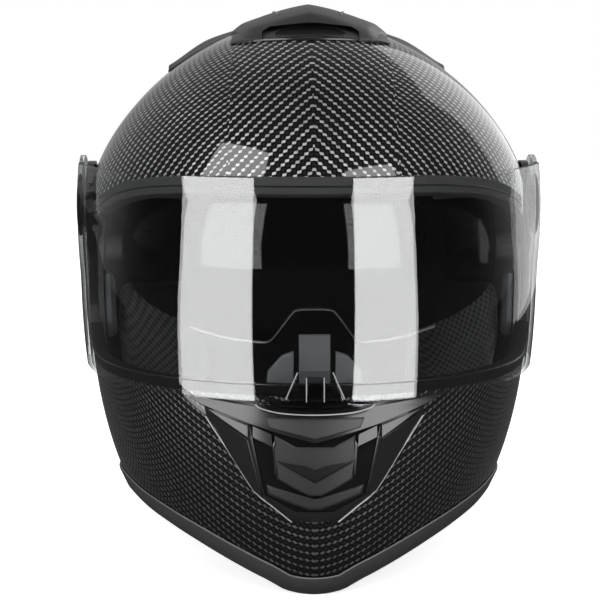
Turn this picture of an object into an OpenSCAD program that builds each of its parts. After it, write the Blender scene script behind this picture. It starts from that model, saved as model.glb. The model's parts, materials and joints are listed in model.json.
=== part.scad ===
// Modular motorcycle helmet: a shell, a chin bar that flips up, a clear visor,
// a drop-down sun visor, and the liners, vents, latch and strap that go with them.
// The face looks towards -Y, +Z is up and the helmet stands on Z = 0.
// Places are given as reach, forward of the pivot axis, and rise, above it.

/* [Shell] */
// Half the width of the shell, at the pivots
shell_half_w = 119.6; // [114:0.2:126]
// Height of the pivot axis above the table
pivot_h = 182; // [178:1:188]
// Distance of the pivot axis ahead of the middle of the length
pivot_ahead = 24; // [18:0.5:30]
// Wall of the shell
shell_wall = 4.6; // [4.6:0.1:5.4]
// Reach of the brow edge
brow_reach = 124; // [122:1:127]
// Rise of the brow edge, which is the top of the eye port
brow_rise = 18; // [16:1:21]
// Height of the crown above the pivot axis
crown_rise = 99.5; // [98:0.5:104]
// Reach of the back of the shell behind the pivot axis
back_reach = 190; // [184:1:196]
// Wall of the step that lies under the chin bar's edge
flange_wall = 3; // [2.6:0.2:3.6]
// Depth of that step behind the seam
flange_lap = 14; // [10:1:18]

/* [Chin bar] */
// Reach of the chin bar's upper lip
lip_reach = 138; // [135:1:141]
// Drop of the visor's lower edge below the pivot axis
lip_drop = 85; // [83:1:88]
// Reach of the chin's lowest point
chin_reach = 129; // [127:1:132]
// Wall of the chin bar
chin_wall = 4; // [3.6:0.1:4]
// How far the visor laps over the chin bar
visor_lap = 8; // [6:0.5:10]
// Radius of the round end of each arm
arm_r = 24; // [22:0.5:25]
// Thickness of the chin bar's padding
chin_pad_t = 12; // [9:1:14]
// Thickness of the steel hinge plates
hinge_plate_t = 2.2; // [1.6:0.1:2.4]
// Radius of the pivot pins
pivot_pin_r = 6; // [5:0.1:7]
// Height of the rubber band round the lower edges
trim_h = 8.5; // [7:0.5:10]
// Width of the breath guard at its foot
guard_w = 46; // [38:1:54]
// Height of the breath guard above the sill
guard_h = 24; // [18:1:26]

/* [Visor] */
// Thickness of the clear visor
visor_t = 2.4; // [2:0.1:2.6]
// Gap between the shell and the inside of the visor
visor_gap = 1.6; // [1.6:0.1:2]
// Radius of the visor's ears round the pivots
ear_r = 27; // [25:0.5:30]
// Radius of the hub that each ear turns on
hub_r = 12; // [10:0.5:14]
// Rise of the visor's upper edge
visor_rise = 24; // [22:0.5:27]
// Width of the finger lip at the foot of the visor
finger_lip_w = 60; // [50:1:70]

/* [Sun visor] */
// Reach of the sun visor's own axis
sun_axis_reach = 30; // [29:0.5:31]
// Drop of the sun visor's axis below the pivot axis
sun_axis_drop = 20; // [19:0.5:21]
// How far the sun visor's front lies behind the brow edge
sun_front_gap = 1; // [0.5:0.5:2]
// How far the sun visor's ears lie inside the shell's sides
sun_side_gap = 20.6; // [20:0.2:22]
// Thickness of the sun visor
sun_t = 1.8; // [1.4:0.1:2]
// Radius of the studs that the sun visor turns on
sun_stud_r = 3; // [2.5:0.1:3.4]
// Travel of the slider that raises the sun visor
sun_slider_travel = 22; // [18:1:24]

/* [Padding] */
// Half the width, half the length and the height of the head's space
head_size = [78, 105, 74];
// Thickness of the crown padding
crown_pad_t = 8; // [6:0.5:9]
// Half the distance between the cheek pads
cheek_gap = 62; // [59:1:68]
// Crown of each cheek pad's soft face
cheek_crown = 5; // [3:0.5:7]
// Half the thickness of the neck roll
neck_roll_r = 8; // [6:0.5:9]

/* [Vents] */
// Height of the top vent's hood above the shell
hood_h = 8.8; // [7:0.2:11]
// Half the width of the top vent's hood
hood_half_w = 38; // [34:1:42]
// Height of the rear spoiler above the shell
spoiler_h = 7; // [5:0.5:9]
// Travel of the top vent's shutter
vent_travel = 6; // [4:0.5:7]
// How far the chin vent stands out from the chin bar
chin_vent_h = 6; // [4:0.5:7]
// Travel of the chin vent's flap
flap_travel = 5; // [3:0.5:6]

/* [Latch and strap] */
// Radius of the striker pins that the latch hooks hold
striker_r = 3; // [2.4:0.1:3.4]
// Travel of the release button
button_travel = 4; // [3:0.5:5]
// Width of the chin strap's webbing
strap_w = 24; // [20:1:26]
// Thickness of the webbing
strap_t = 1.8; // [1.4:0.2:2]
// Length of the buckle
buckle_len = 30; // [26:1:34]

/* [Hidden] */

// A gap between pieces that slide or turn on each other
gap = 0.3;
// A gap between a piece and what it is fixed on
seat = 0.2;
// A radial gap between a shaft and its hole
shaft_gap = 0.05;
// Faces along and across the large skins
skin_rows = 48;
skin_cols = 20;
row_step = 360 / skin_rows;
// Larger than the helmet, for cuts that go right through
far = 400;
$fn = 32;

sun_r = brow_reach - sun_axis_reach - sun_front_gap;
sun_half_w = shell_half_w - sun_side_gap;
// Rise of the table, to which the lower edges are drawn
table = -pivot_h;

// The side view of the skin, as [reach, rise, fullness, squareness]. Fullness says how
// long a section stays near its full reach, squareness how wide it stays.
profile = [
    [chin_reach, -pivot_h, 2.5, 1.6],
    [lip_reach, -lip_drop, 2.3, 1.9],
    [(lip_reach + brow_reach) / 2, -(lip_drop - brow_rise) / 2 + 4, 2.15, 2],
    [brow_reach, brow_rise, 2.05, 2],
    [brow_reach * 0.8, crown_rise * 0.62, 1.85, 1.96],
    [brow_reach * 0.49, crown_rise * 0.905, 1.68, 1.93],
    [0, crown_rise, 1.62, 1.92],
    [-57, crown_rise - 1.5, 1.68, 1.93],
    [-back_reach * 0.69, crown_rise * 0.76, 1.9, 1.96],
    [-back_reach, 0, 2.1, 2],
    [-back_reach * 0.945, -pivot_h / 2, 2.3, 2],
    [-150, -pivot_h * 0.91, 2.7, 2],
    [-75, -pivot_h - 26, 3, 2],
    [0, -pivot_h - 37, 3.1, 2],
    [75, -pivot_h - 24, 2.9, 1.85],
];
profile_start = atan2(profile[0][1], profile[0][0]);
profile_n = len(profile);
profile_a = [for (k = profile) wrapped(atan2(k[1], k[0]))];
profile_v = [for (k = profile) [norm([k[0], k[1]]), k[2], k[3]]];
function wrapped(a) =
    a < profile_start - 1e-9 ? a + 360 : a >= profile_start + 360 - 1e-9 ? a - 360 : a;
function lap(i) = floor(i / profile_n);
function slot(i) = i - lap(i) * profile_n;
function angle_at(i) = profile_a[slot(i)] + 360 * lap(i);
function value_at(i) = profile_v[slot(i)];
function slope_at(i) =
    (value_at(i + 1) - value_at(i - 1)) / (angle_at(i + 1) - angle_at(i - 1));

// Radius, fullness and squareness of the section at an angle above straight forward
function section(angle) =
    let(
        a = wrapped(angle),
        i = max([for (j = [0 : profile_n - 1]) if (profile_a[j] <= a + 1e-6) j]),
        span = angle_at(i + 1) - angle_at(i),
        t = (a - angle_at(i)) / span
    )
    value_at(i) * (2 * t^3 - 3 * t^2 + 1) + slope_at(i) * span * (t^3 - 2 * t^2 + t)
    + value_at(i + 1) * (3 * t^2 - 2 * t^3) + slope_at(i + 1) * span * (t^3 - t^2);

// The visor keeps the brow's section above the brow instead of following the crown
visor_hold = 8;
visor_low = 260;
function visor_section(angle) =
    angle > visor_hold && angle < visor_low
    ? let(t = (angle - visor_hold) / (visor_low - visor_hold))
        section(visor_hold) * (1 - t) + section(visor_low) * t
    : section(angle);

// A point at an angle above straight forward, an angle from the middle to the side
// (-90 to 90), and how far it stands off the shell's outer face
function skin_point(s, angle, side, off) =
    let(
        r = (s[0] + off) * pow(abs(cos(side)), 2 / s[1]),
        x = (shell_half_w + off) * sign(side) * pow(abs(sin(side)), 2 / s[2])
    )
    [x, -r * cos(angle), r * sin(angle)];
function skin_at(off) = function(a, side) skin_point(section(a), a, side, off);
function visor_at(off) = function(a, side) skin_point(visor_section(a), a, side, off);
function sun_at(off) = function(a, side) [
    (sun_half_w + off) * sin(side),
    -sun_axis_reach - (sun_r + off) * cos(side) * cos(a),
    -sun_axis_drop + (sun_r + off) * cos(side) * sin(a)
];

// How far the skin stands from the middle plane at a reach and a rise
function skin_x(reach, rise, off) =
    let(
        s = section(atan2(rise, reach)),
        t = min(1, norm([reach, rise]) / (s[0] + off))
    )
    (shell_half_w + off) * pow(1 - pow(t, s[1]), 1 / s[2]);
function bisect(outside, low, high, n = 18) =
    let(mid = (low + high) / 2)
    n == 0 ? mid : outside(mid) ? bisect(outside, low, mid, n - 1)
        : bisect(outside, mid, high, n - 1);
// Reach of the front of the skin, rise of its top and reach of its back
function skin_reach(x, rise, off) =
    bisect(function(v) skin_x(v, rise, off) <= abs(x) + 1e-6, 20, 190);
function skin_rise(x, reach, off) =
    bisect(function(v) skin_x(reach, v, off) <= abs(x) + 1e-6, 0, 160);
function skin_back(x, rise, off) =
    -bisect(function(v) skin_x(-v, rise, off) <= abs(x) + 1e-6, 20, 260);

function joined(lists) = [for (l = lists) each l];
function reversed(l) = [for (i = [len(l) - 1 : -1 : 0]) l[i]];
function shifted(l, d) = [for (p = l) p + d];
function mean(l) = [for (k = [0 : len(l[0]) - 1]) [for (p = l) p[k]] * [for (p = l) 1] / len(l)];
function signed_area(p) =
    [for (i = [0 : len(p) - 1]) cross(p[i], p[(i + 1) % len(p)])] * [for (q = p) 0.5];
function ccw(p) = signed_area(p) > 0 ? p : reversed(p);
// Both halves of an outline, from its right half listed top to bottom
function whole(half) =
    concat([for (p = half) if (p[0] > 0) [-p[0], p[1]]], reversed(half));
function unit(v) = v / norm(v);
// An outline drawn inwards by d
function inset(p, d) = [
    for (i = [0 : len(p) - 1]) let(
        n = len(p),
        e1 = unit(p[i] - p[(i + n - 1) % n]),
        e2 = unit(p[(i + 1) % n] - p[i]),
        n1 = [-e1[1], e1[0]],
        n2 = [-e2[1], e2[0]]
    ) p[i] + d * (n1 + n2) / (1 + n1 * n2)
];
// Points of a smooth open curve through a few given ones
function curve_point(p, i, t) =
    let(
        n = len(p) - 1,
        a = p[max(0, i - 1)], b = p[i], c = p[min(n, i + 1)], d = p[min(n, i + 2)]
    )
    0.5 * (2 * b + (c - a) * t + (2 * a - 5 * b + 4 * c - d) * t^2
        + (3 * b - a - 3 * c + d) * t^3);
function curve(p, steps) = concat(
    [for (i = [0 : len(p) - 2], k = [0 : steps - 1]) curve_point(p, i, k / steps)],
    [p[len(p) - 1]]
);

// A solid that fills a skin from one angle to another
module body_of(f, from = 0, to = 360, rows = skin_rows, cols = skin_cols) {
    full = to - from >= 360;
    n = full ? rows : rows + 1;
    m = cols - 1;
    mesh = [
        for (i = [0 : n - 1])
            [for (j = [1 : m]) f(from + (to - from) * i / rows, -90 + 180 * j / cols)]
    ];
    left = n * m;
    right = left + 1;
    last = (n - 1) * m;
    faces = [
        for (i = [0 : (full ? n : n - 1) - 1]) let(a = i * m, b = ((i + 1) % n) * m) each concat(
            [[left, b, a], [right, a + m - 1, b + m - 1]],
            joined([
                for (j = [0 : m - 2]) [[a + j, b + j + 1, a + j + 1], [a + j, b + j, b + j + 1]]
            ])
        ),
        if (!full) each concat(
            [[left, m - 1, right], [left, right, last + m - 1]],
            [for (j = [0 : m - 2]) [left, j, j + 1]],
            [for (j = [0 : m - 2]) [left, last + j + 1, last + j]]
        ),
    ];
    polyhedron(concat(joined(mesh), [f(from, -90), f(from, 90)]), faces, convexity = 6);
}

// The wall between two faces of the skin, on the rows that all the skins share
module skin_wall(outer, inner, first = 0, last = skin_rows) {
    margin = last - first >= skin_rows ? 0 : 1;
    rows = last - first;
    difference() {
        body_of(skin_at(outer), first * row_step, last * row_step, rows);
        body_of(skin_at(inner), (first - margin) * row_step, (last + margin) * row_step,
            rows + 2 * margin);
    }
}

// A solid through rings of points, each ring counter-clockwise seen from the last one
module loft(rings) {
    n = len(rings[0]);
    k = len(rings);
    first_mid = k * n;
    last_mid = first_mid + 1;
    faces = concat(
        [for (i = [0 : n - 1]) [first_mid, i, (i + 1) % n]],
        [for (i = [0 : n - 1]) [last_mid, (k - 1) * n + (i + 1) % n, (k - 1) * n + i]],
        joined([
            for (r = [0 : k - 2], i = [0 : n - 1]) let(
                a = r * n + i, b = r * n + (i + 1) % n, c = a + n, d = b + n
            ) [[a, c, d], [a, d, b]]
        ])
    );
    polyhedron(concat(joined(rings), [mean(rings[0]), mean(rings[k - 1])]), faces,
        convexity = 6);
}
// Rings over the front, the top and the right side of the skin, from flat outlines
function front_ring(p, off) = [for (q = p) [q[0], -skin_reach(q[0], q[1], off), q[1]]];
function top_ring(p, off) =
    [for (q = p) [q[0], -q[1], skin_rise(q[0], q[1], off)]];
function side_ring(p, x) = [for (q = p) [x(q), -q[0], q[1]]];

// Puts what is drawn about the pivot axis in its place
module at_pivot() translate([0, -pivot_ahead, pivot_h]) children();
module each_side() {
    children();
    mirror([1, 0, 0]) children();
}
// A side view, drawn in reach and rise, from one place across the helmet to another
module side_view(from = -far, to = far)
    translate([to, 0, 0]) rotate([90, 0, -90]) linear_extrude(to - from) children();
// A front view, drawn across and in rise, from one reach to another
module front_view(from = -far, to = far)
    translate([0, -from, 0]) rotate([90, 0, 0]) linear_extrude(to - from) children();
// A turned piece on an axis that runs across the helmet
module across(reach, rise) translate([0, -reach, rise]) rotate([90, 0, 90]) children();
module rod(r, from, to) translate([0, 0, from]) cylinder(r = r, h = to - from);

/* Outlines in side view */
split_line = [[-15, -24], [-14, -60], [-6, table + 82], [6, table + 52], [24, table + 16]];
port_edge = [
    [brow_reach + 90, brow_rise], [brow_reach, brow_rise], [brow_reach * 0.8, brow_rise - 1.5],
    [80, brow_rise - 5], [61, brow_rise - 12], [47, brow_rise - 22], [38, brow_rise - 36],
];
sill_rise = -lip_drop + visor_lap;
arm_front = 36.5;
shell_edge = [
    [-260, table + 1.2], [-94, table + 1.2], [-84, table + 6], [-64, table + 18],
    [-40, table + 27], [0, table + 32.5], [34, table + 34.5],
];
chin_edge = [
    [0, table + 32.5], [34, table + 34.5], [56, table + 35.5], [chin_reach - 41, table + 31.5],
    [chin_reach - 25, table + 27], [chin_reach - 15, table + 22], [chin_reach - 7, table + 15.5],
    [chin_reach - 2, table + 9], [chin_reach + 2.5, table + 1.2], [chin_reach + 31, table + 1.2],
];
module shell_front() polygon(concat(port_edge, [[arm_front, -50], [arm_front, -far], [far, -far]]));
module chin_area() {
    polygon(concat(
        [[far, sill_rise], [60, sill_rise + 2], [47, sill_rise + 6], [39.5, sill_rise + 13],
            [arm_front, sill_rise + 24], [arm_front, -24], [24, -18], [0, 0], [-12, -18]],
        shifted(split_line, [seat + gap, 0]),
        [[24, -far], [far, -far]]
    ));
}
// A flat disc on the pivot axis, in place of the curved skin round it
module flat_ear(r, low, high) {
    difference() {
        children();
        rotate([90, 0, 90]) rod(r - 1, -far, far);
    }
    each_side() rotate([90, 0, 90]) rod(r, shell_half_w + low, shell_half_w + high, $fn = 64);
}
module below(edge) polygon(concat(edge, [[far, edge[len(edge) - 1][1]], [far, -far], [-far, -far]]));
module band(edge, low, high)
    polygon(concat(shifted(edge, [0, low]), reversed(shifted(edge, [0, high]))));

/* Shell */
// Where the arms of the chin bar turn
module arm_pocket() {
    pocket_r = arm_r + gap;
    rotate([90, 0, 90]) rod(pocket_r, shell_half_w - shell_wall - 1.6, far);
    intersection() {
        rotate([90, 0, 90]) rotate_extrude($fn = 64) polygon([
            [pocket_r - 1, shell_half_w - chin_wall - 1.3], [54, shell_half_w - chin_wall - 4.6],
            [54, far], [pocket_r - 1, far],
        ]);
        side_view(0) polygon([[0, 0], [28, -60], [80, -50], [80, 80], [-14, 80]]);
    }
}
module shell_outer_area() difference() {
    square(2 * far, center = true);
    polygon(concat(port_edge, [[24, -20], [-15, -20]], split_line, [[24, -far], [far, -far]]));
}
module flange_area() intersection() {
    polygon(concat(
        [[arm_front - 6, 28], [arm_front - 1, 4], [arm_front, -20], [arm_front, -far], [20, -far]],
        reversed(shifted(split_line, [-flange_lap, 0])), [[-29, 28]]
    ));
    translate([0, trim_h + 3]) difference() {
        square(2 * far, center = true);
        below(shell_edge);
    }
}
module outer_shell() color("#1b1c1e") at_pivot() difference() {
    union() {
        difference() {
            intersection() {
                skin_wall(0, -shell_wall);
                side_view() shell_outer_area();
            }
            each_side() arm_pocket();
        }
        intersection() {
            skin_wall(-chin_wall - gap, -chin_wall - gap - flange_wall);
            side_view() flange_area();
        }
    }
    side_view() below(shell_edge);
    rotate([90, 0, 90]) rod(pivot_pin_r + seat, -far, far);
}

// A rubber channel that grips the edge of a wall
module edge_channel(wall) difference() {
    intersection() {
        skin_wall(gap + 1, -wall - seat - 1.5);
        side_view() intersection() {
            children(0);
            children(1);
        }
    }
    difference() {
        skin_wall(seat, -wall - seat);
        side_view() children(2);
    }
}
module shell_trim() color("#141414") at_pivot() edge_channel(shell_wall) {
    band(shell_edge, -1.2, trim_h - 1.2);
    difference() {
        translate([-far, -pivot_h]) square([2 * far, far]);
        polygon(concat(shifted(split_line, [-0.6, 0]), [[24, -far], [far, -far], [far, -24]]));
    }
    below(shell_edge);
}
module brow_gasket() color("#101010") at_pivot() edge_channel(shell_wall) {
    difference() {
        offset(r = 2.5) shell_front();
        offset(r = -6.5) shell_front();
    }
    translate([54, -14]) square([far, far]);
    shell_front();
}

/* Liners */
head_reach = -28;
head_rise = -14;
module head_form(grow) translate([0, -head_reach, head_rise]) {
    scale(head_size + [grow, grow, grow]) sphere(1, $fn = 40);
    translate([0, 0, -far / 2]) linear_extrude(far / 2)
        scale([head_size[0] + grow, head_size[1] + grow]) circle(1, $fn = 40);
}
sun_clear = 1.6;
module sun_sweep() {
    difference() {
        union() {
            body_of(sun_at(sun_clear), -36, 96, 16, 16);
            intersection() {
                body_of(sun_at(sun_clear), 88, 124, 4, 16);
                each_side() translate([64, -far, -far]) cube(2 * far);
            }
        }
        body_of(sun_at(-sun_t - sun_clear), -45, 135, 22, 16);
    }
    each_side() across(sun_axis_reach, -sun_axis_drop)
        rod(sun_ear_r + 1.5, sun_half_w - sun_t - sun_clear - 1.2, sun_half_w + sun_clear);
}
module foam_liner() color("#26272a") at_pivot() difference() {
    body_of(skin_at(-shell_wall - 3.4), rows = 36, cols = 16);
    head_form(crown_pad_t + seat);
    sun_sweep();
    rotate([90, 0, 90]) {
        rod(pin_head_r + 0.6, pin_inner - 1, far);
        rod(pin_head_r + 0.6, -far, 1 - pin_inner);
    }
    side_view() polygon([
        [far, brow_rise - 5], [70, brow_rise - 7], [44, brow_rise - 14], [20, -12], [11, -33],
        [6, -46], [-20, -58], [-52, -84], [-50, table + 60], [-120, table + 50],
        [-far, table + 42], [-far, -far], [far, -far],
    ]);
    side_view() offset(delta = gap) polygon(cheek_outline);
}
module crown_padding() color("#1d1d1f") at_pivot() difference() {
    head_form(crown_pad_t);
    head_form(0);
    sun_sweep();
    side_view() polygon([
        [far, brow_rise], [70, brow_rise - 2], [40, 0], [16, -10], [11, -28], [-22, -40],
        [-62, -68], [-70, table + 72], [-110, table + 56], [-far, table + 50],
        [-far, -far], [far, -far],
    ]);
}
// Reach, and share of the pad's height below its top
cheek_shares = [
    [20, 0], [27, 0.12], [31, 0.3], [30, 0.485], [22, 0.645], [9, 0.82], [-5, 0.95], [-24, 1],
    [-44, 0.94], [-57, 0.79], [-61, 0.585], [-58, 0.425], [-42, 0.26], [-22, 0.12], [0, 0],
];
cheek_top = -40;
cheek_h = cheek_top - table - 43;
cheek_outline = [for (p = cheek_shares) [p[0], cheek_top - p[1] * cheek_h]];
module cheek_pad() {
    p = reversed(ccw(cheek_outline));
    outer = function(q) skin_x(q[0], q[1], flange_back - 7.2);
    loft([
        side_ring(inset(p, -20), function(q) cheek_gap - cheek_crown),
        side_ring(inset(p, -9), function(q) cheek_gap - cheek_crown / 2),
        side_ring(inset(p, -2.5), function(q) cheek_gap + 3),
        side_ring(p, function(q) cheek_gap + 9),
        side_ring(inset(p, -1.6), function(q) (cheek_gap + 9 + outer(q)) / 2),
        side_ring(inset(p, 0), function(q) outer(q) - 3),
        side_ring(inset(p, -4), outer),
    ]);
}
module cheek_pad_left() color("#222326") at_pivot() cheek_pad();
module cheek_pad_right() color("#222326") at_pivot() mirror([1, 0, 0]) cheek_pad();

neck_from = -68;
neck_rise = [[-160, table + 14], [-96, table + 14], [-66, table + 30], [0, table + 32]];
module neck_roll() color("#1d1d1f") at_pivot() {
    turns = 26;
    sides = 10;
    back = skin_back(0, table + 14, -shell_wall - neck_roll_r - 5.2);
    edge = function(reach) skin_x(reach, lookup(reach, neck_rise), -shell_wall - neck_roll_r - 5.2);
    start = acos((neck_from - head_reach) / (back - head_reach));
    path = [
        for (i = [0 : turns]) let(
            t = (1 - 2 * i / turns) * start,
            reach = head_reach + (back - head_reach) * cos(t)
        ) [sign(t) * edge(min(reach, -20)), -reach, lookup(reach, neck_rise)]
    ];
    loft([
        for (i = [0 : turns]) let(
            ahead = path[min(turns, i + 1)],
            behind = path[max(0, i - 1)],
            along = unit([ahead[0] - behind[0], ahead[1] - behind[1]]),
            outward = [along[1], -along[0], 0],
            full = min(1, 0.45 + min(i, turns - i) * 0.3)
        ) [
            for (k = [0 : sides - 1]) let(a = -360 * k / sides)
                path[i] + full * (neck_roll_r * cos(a) * outward + [0, 0, 1.35 * neck_roll_r * sin(a)])
        ]
    ]);
}
module port_side_trims() color("#6d7074") at_pivot() each_side() {
    p = reversed(ccw([
        [34, -34], [35, -60], [31, -68], [22, -70], [12, -64], [10, -46], [16, -34],
    ]));
    outer = function(q) skin_x(q[0], q[1], flange_back - 0.6);
    loft([
        side_ring(inset(p, -3), function(q) outer(q) - 6),
        side_ring(inset(p, -1), function(q) outer(q) - 4),
        side_ring(p, function(q) outer(q) - 3),
        side_ring(p, outer),
    ]);
}

/* Vents on the shell */
// A raised piece on top of the shell: place gives [across, reach] and height its
// stand-off, both over u from -1 to 1 across and v from 0 to 1 front to back
module relief(place, height, cols, rows) {
    grid = function(off) [
        for (v = [0 : rows], u = [0 : cols]) let(
            q = place(2 * u / cols - 1, v / rows),
            h = off(2 * u / cols - 1, v / rows)
        ) [q[0], -q[1], skin_rise(q[0], q[1], h)]
    ];
    w = cols + 1;
    n = w * (rows + 1);
    rim = concat(
        [for (u = [0 : cols - 1]) u], [for (v = [0 : rows - 1]) v * w + cols],
        [for (u = [cols : -1 : 1]) rows * w + u], [for (v = [rows : -1 : 1]) v * w]
    );
    polyhedron(
        concat(grid(height), grid(function(u, v) -4)),
        concat(
            joined([for (v = [0 : rows - 1], u = [0 : cols - 1]) let(a = v * w + u) [
                [a, a + w, a + w + 1], [a, a + w + 1, a + 1],
                [n + a, n + a + w + 1, n + a + w], [n + a, n + a + 1, n + a + w + 1],
            ]]),
            joined([for (i = [0 : len(rim) - 1]) let(c = rim[i], d = rim[(i + 1) % len(rim)]) [
                [c, d, n + d], [c, n + d, n + c],
            ]])
        ),
        convexity = 4
    );
}
function smooth(t) = let(c = min(1, max(0, t))) c * c * (3 - 2 * c);
hood_front = 63;
hood_back = -48;
hood_width = [[0, hood_half_w - 7], [0.06, hood_half_w - 3], [0.3, hood_half_w], [0.5, hood_half_w + 4],
    [0.75, hood_half_w - 4], [1, 14]];
function hood_place(u, v) =
    [u * lookup(v, hood_width), hood_front + (hood_back - hood_front) * v - 10 * u * u * (1 - v)];
// Share of the hood's height at a share of its half width
hood_roof = [[0, 1], [0.43, 0.66], [0.66, 0.5], [0.86, 0.42], [1, 0.1]];
function hood_height(u, v) =
    1.2 + (hood_h - 1.2) * lookup(abs(u), hood_roof) * smooth(v / 0.14) * smooth((1 - v) / 0.45);
module top_vent_hood() color("#151515") at_pivot() difference() {
    relief(function(u, v) hood_place(u, v), function(u, v) hood_height(u, v), 16, 14);
    body_of(skin_at(seat));
    front_view(34, far) polygon([
        [-23, 0], [23, 0], [25, crown_rise - 5.5], [21, crown_rise - 3], [0, crown_rise - 0.8],
        [-21, crown_rise - 3], [-25, crown_rise - 5.5],
    ]);
}
shutter_outline = [[15, 59.5], [18, 55], [18, 50], [14, 47.5]];
module top_vent_shutter() color("#2b2c2e") at_pivot() difference() {
    turned_loft([
        top_ring(ccw(whole(shutter_outline)), -2),
        top_ring(ccw(whole(shutter_outline)), 0.8),
        top_ring(inset(ccw(whole(shutter_outline)), 1), 1.2),
    ]);
    body_of(skin_at(seat + 0.4));
}
module turned_loft(rings) loft([for (r = reversed(rings)) r]);
spoiler_half_w = 77;
function spoiler_place(u, v) =
    let(x = abs(u), front = -26 - 32 * pow(1 - x, 0.8), back = -40 - 68 * pow(1 - x * x, 0.7))
    [u * spoiler_half_w, front + (back - front) * v];
function spoiler_height(u, v) =
    1 + (spoiler_h - 1) * smooth(v / 0.75) * (0.45 + 0.55 * smooth((1 - abs(u)) / 0.3));
module rear_spoiler() color("#151515") at_pivot() difference() {
    relief(function(u, v) spoiler_place(u, v), function(u, v) spoiler_height(u, v), 20, 7);
    body_of(skin_at(seat));
}

/* Pins and studs on the shell */
flange_back = -chin_wall - gap - flange_wall;
// Where a flat round end of a given radius meets the inside of a curved wall
function flat_seat(at, r, off) =
    min([for (a = [0 : 30 : 330]) skin_x(at[0] + r * cos(a), at[1] + r * sin(a), off)]) - 0.85;
pin_head_r = pivot_pin_r + 3;
pin_inner = flat_seat([0, 0], pin_head_r, flange_back) - 2.4;
module pivot_pins() color("#8b8f94") at_pivot() each_side() rotate([90, 0, 90]) {
    rod(pivot_pin_r, pin_inner, shell_half_w - 0.4);
    rod(pin_head_r, pin_inner, pin_inner + 2.2);
}
striker_at = [29, table + 58];
module striker_pins() color("#9a9ea3") at_pivot() each_side()
    across(striker_at[0], striker_at[1]) {
        face = flat_seat(striker_at, striker_r + 3, flange_back);
        rod(striker_r, hook_x - 4.5, face);
        rod(striker_r + 3, face - 2.5, face);
    }
sun_ear_r = 9;
sun_axis = [sun_axis_reach, -sun_axis_drop];
module sun_visor_studs() color("#55585c") at_pivot() each_side()
    across(sun_axis_reach, -sun_axis_drop) {
        face = flat_seat(sun_axis, sun_ear_r - 2, flange_back);
        rod(sun_stud_r, sun_half_w - sun_t - 2.8, face);
        rod(sun_stud_r + 2, sun_half_w - sun_t - 2.8, sun_half_w - sun_t - gap - 0.5);
        rod(sun_ear_r - 2, sun_half_w + gap, face);
    }

/* Sun visor */
sun_foot = sun_axis_drop + 38.5;
sun_front = sun_axis_reach + sun_r;
module sun_visor() color("#3b3a38", 0.55) at_pivot() difference() {
    intersection() {
        difference() {
            body_of(sun_at(0), rows = 32, cols = 18);
            body_of(sun_at(-sun_t), rows = 32, cols = 18);
        }
        side_view() {
            polygon([
                [far, 33], [sun_front - 37, 33], [sun_front - 63, 20],
                [sun_axis_reach + 4, -sun_axis_drop + 8], [sun_axis_reach, -sun_axis_drop],
                [sun_axis_reach + 4, -sun_axis_drop - 8], [sun_front - 63, -39],
                [sun_front - 27, 7 - sun_foot], [sun_front - 10, -sun_foot], [far, -sun_foot],
            ]);
            translate([sun_axis_reach, -sun_axis_drop]) circle(sun_ear_r);
        }
    }
    front_view(60) offset(r = 3) offset(r = -3)
        polygon([[-27, -70], [-9, -41], [9, -41], [27, -70]]);
    across(sun_axis_reach, -sun_axis_drop) rod(sun_stud_r + 0.3, -far, far);
}
slider_at = [-44, table + 64];
slider_line = unit([skin_x(slider_at[0] - 14, slider_at[1], 2) - skin_x(slider_at[0] + 14,
    slider_at[1], 2), 28]);
module on_slider_rail() translate([
    skin_x(slider_at[0], slider_at[1], 0), -slider_at[0], slider_at[1]
]) rotate([0, 0, -asin(slider_line[0])]) rotate([0, -10, 0]) children();
module sun_slider_rail() color("#151515") at_pivot() difference() {
    on_slider_rail() rotate([90, 0, 90]) translate([0, 0, -6]) linear_extrude(8) difference() {
        offset(r = 4) square([sun_slider_travel + 22, 6], center = true);
        offset(r = 2) square([sun_slider_travel + 14, 1.6], center = true);
    }
    body_of(skin_at(seat));
}
module sun_slider() color("#3a3c3f") at_pivot() on_slider_rail()
    translate([2.4, -sun_slider_travel / 2, 0]) rotate([90, 0, 90]) {
        linear_extrude(1.4) offset(r = 2) square([10, 6], center = true);
        for (k = [-1 : 1]) translate([k * 3, 0, 1.4]) linear_extrude(0.8)
            square([1.2, 7], center = true);
    }

/* Chin strap, unfastened, its ends lying towards the middle */
strap_reach = -18;
// Where the shell's inner face stands beside the strap's top
strap_wall = skin_x(strap_reach, table + 52, -shell_wall);
// Distance inside that face, and height above the table
strap_path = [
    for (p = [[5.3, 66], [6.2, 52], [9.8, 41], [15.3, 31], [22.8, 22], [32.8, 15], [43.8, 10.5]])
        [strap_wall - p[0], table + p[1]]
];
function stroke(p, t) =
    let(n = len(p) - 1, side = [
        for (i = [0 : n]) let(d = unit(p[min(n, i + 1)] - p[max(0, i - 1)])) [-d[1], d[0]]
    ])
    concat([for (i = [0 : n]) p[i] + side[i] * t / 2],
        reversed([for (i = [0 : n]) p[i] - side[i] * t / 2]));
strap_end = strap_path[len(strap_path) - 1];
rivet_rise = table + 59;
module strap() difference() {
    front_view(strap_reach - strap_w / 2, strap_reach + strap_w / 2)
        polygon(stroke(curve(strap_path, 3), strap_t));
    across(strap_reach, rivet_rise) rod(3 + seat, 0, far);
}
module strap_left() color("#1a1a1a") at_pivot() strap();
module strap_right() color("#1a1a1a") at_pivot() mirror([1, 0, 0]) strap();
module strap_rivets() color("#8b8f94") at_pivot() each_side() across(strap_reach, rivet_rise) {
    face = flat_seat([strap_reach, rivet_rise], 6, -shell_wall);
    rod(3, strap_path[1][0] - strap_t / 2 - 1.6, face);
    rod(6, strap_path[1][0] - strap_t / 2 - 1.6, strap_path[1][0] - strap_t / 2 - 0.2);
    rod(6, strap_path[0][0] + strap_t / 2 + 0.3, face);
}
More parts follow.
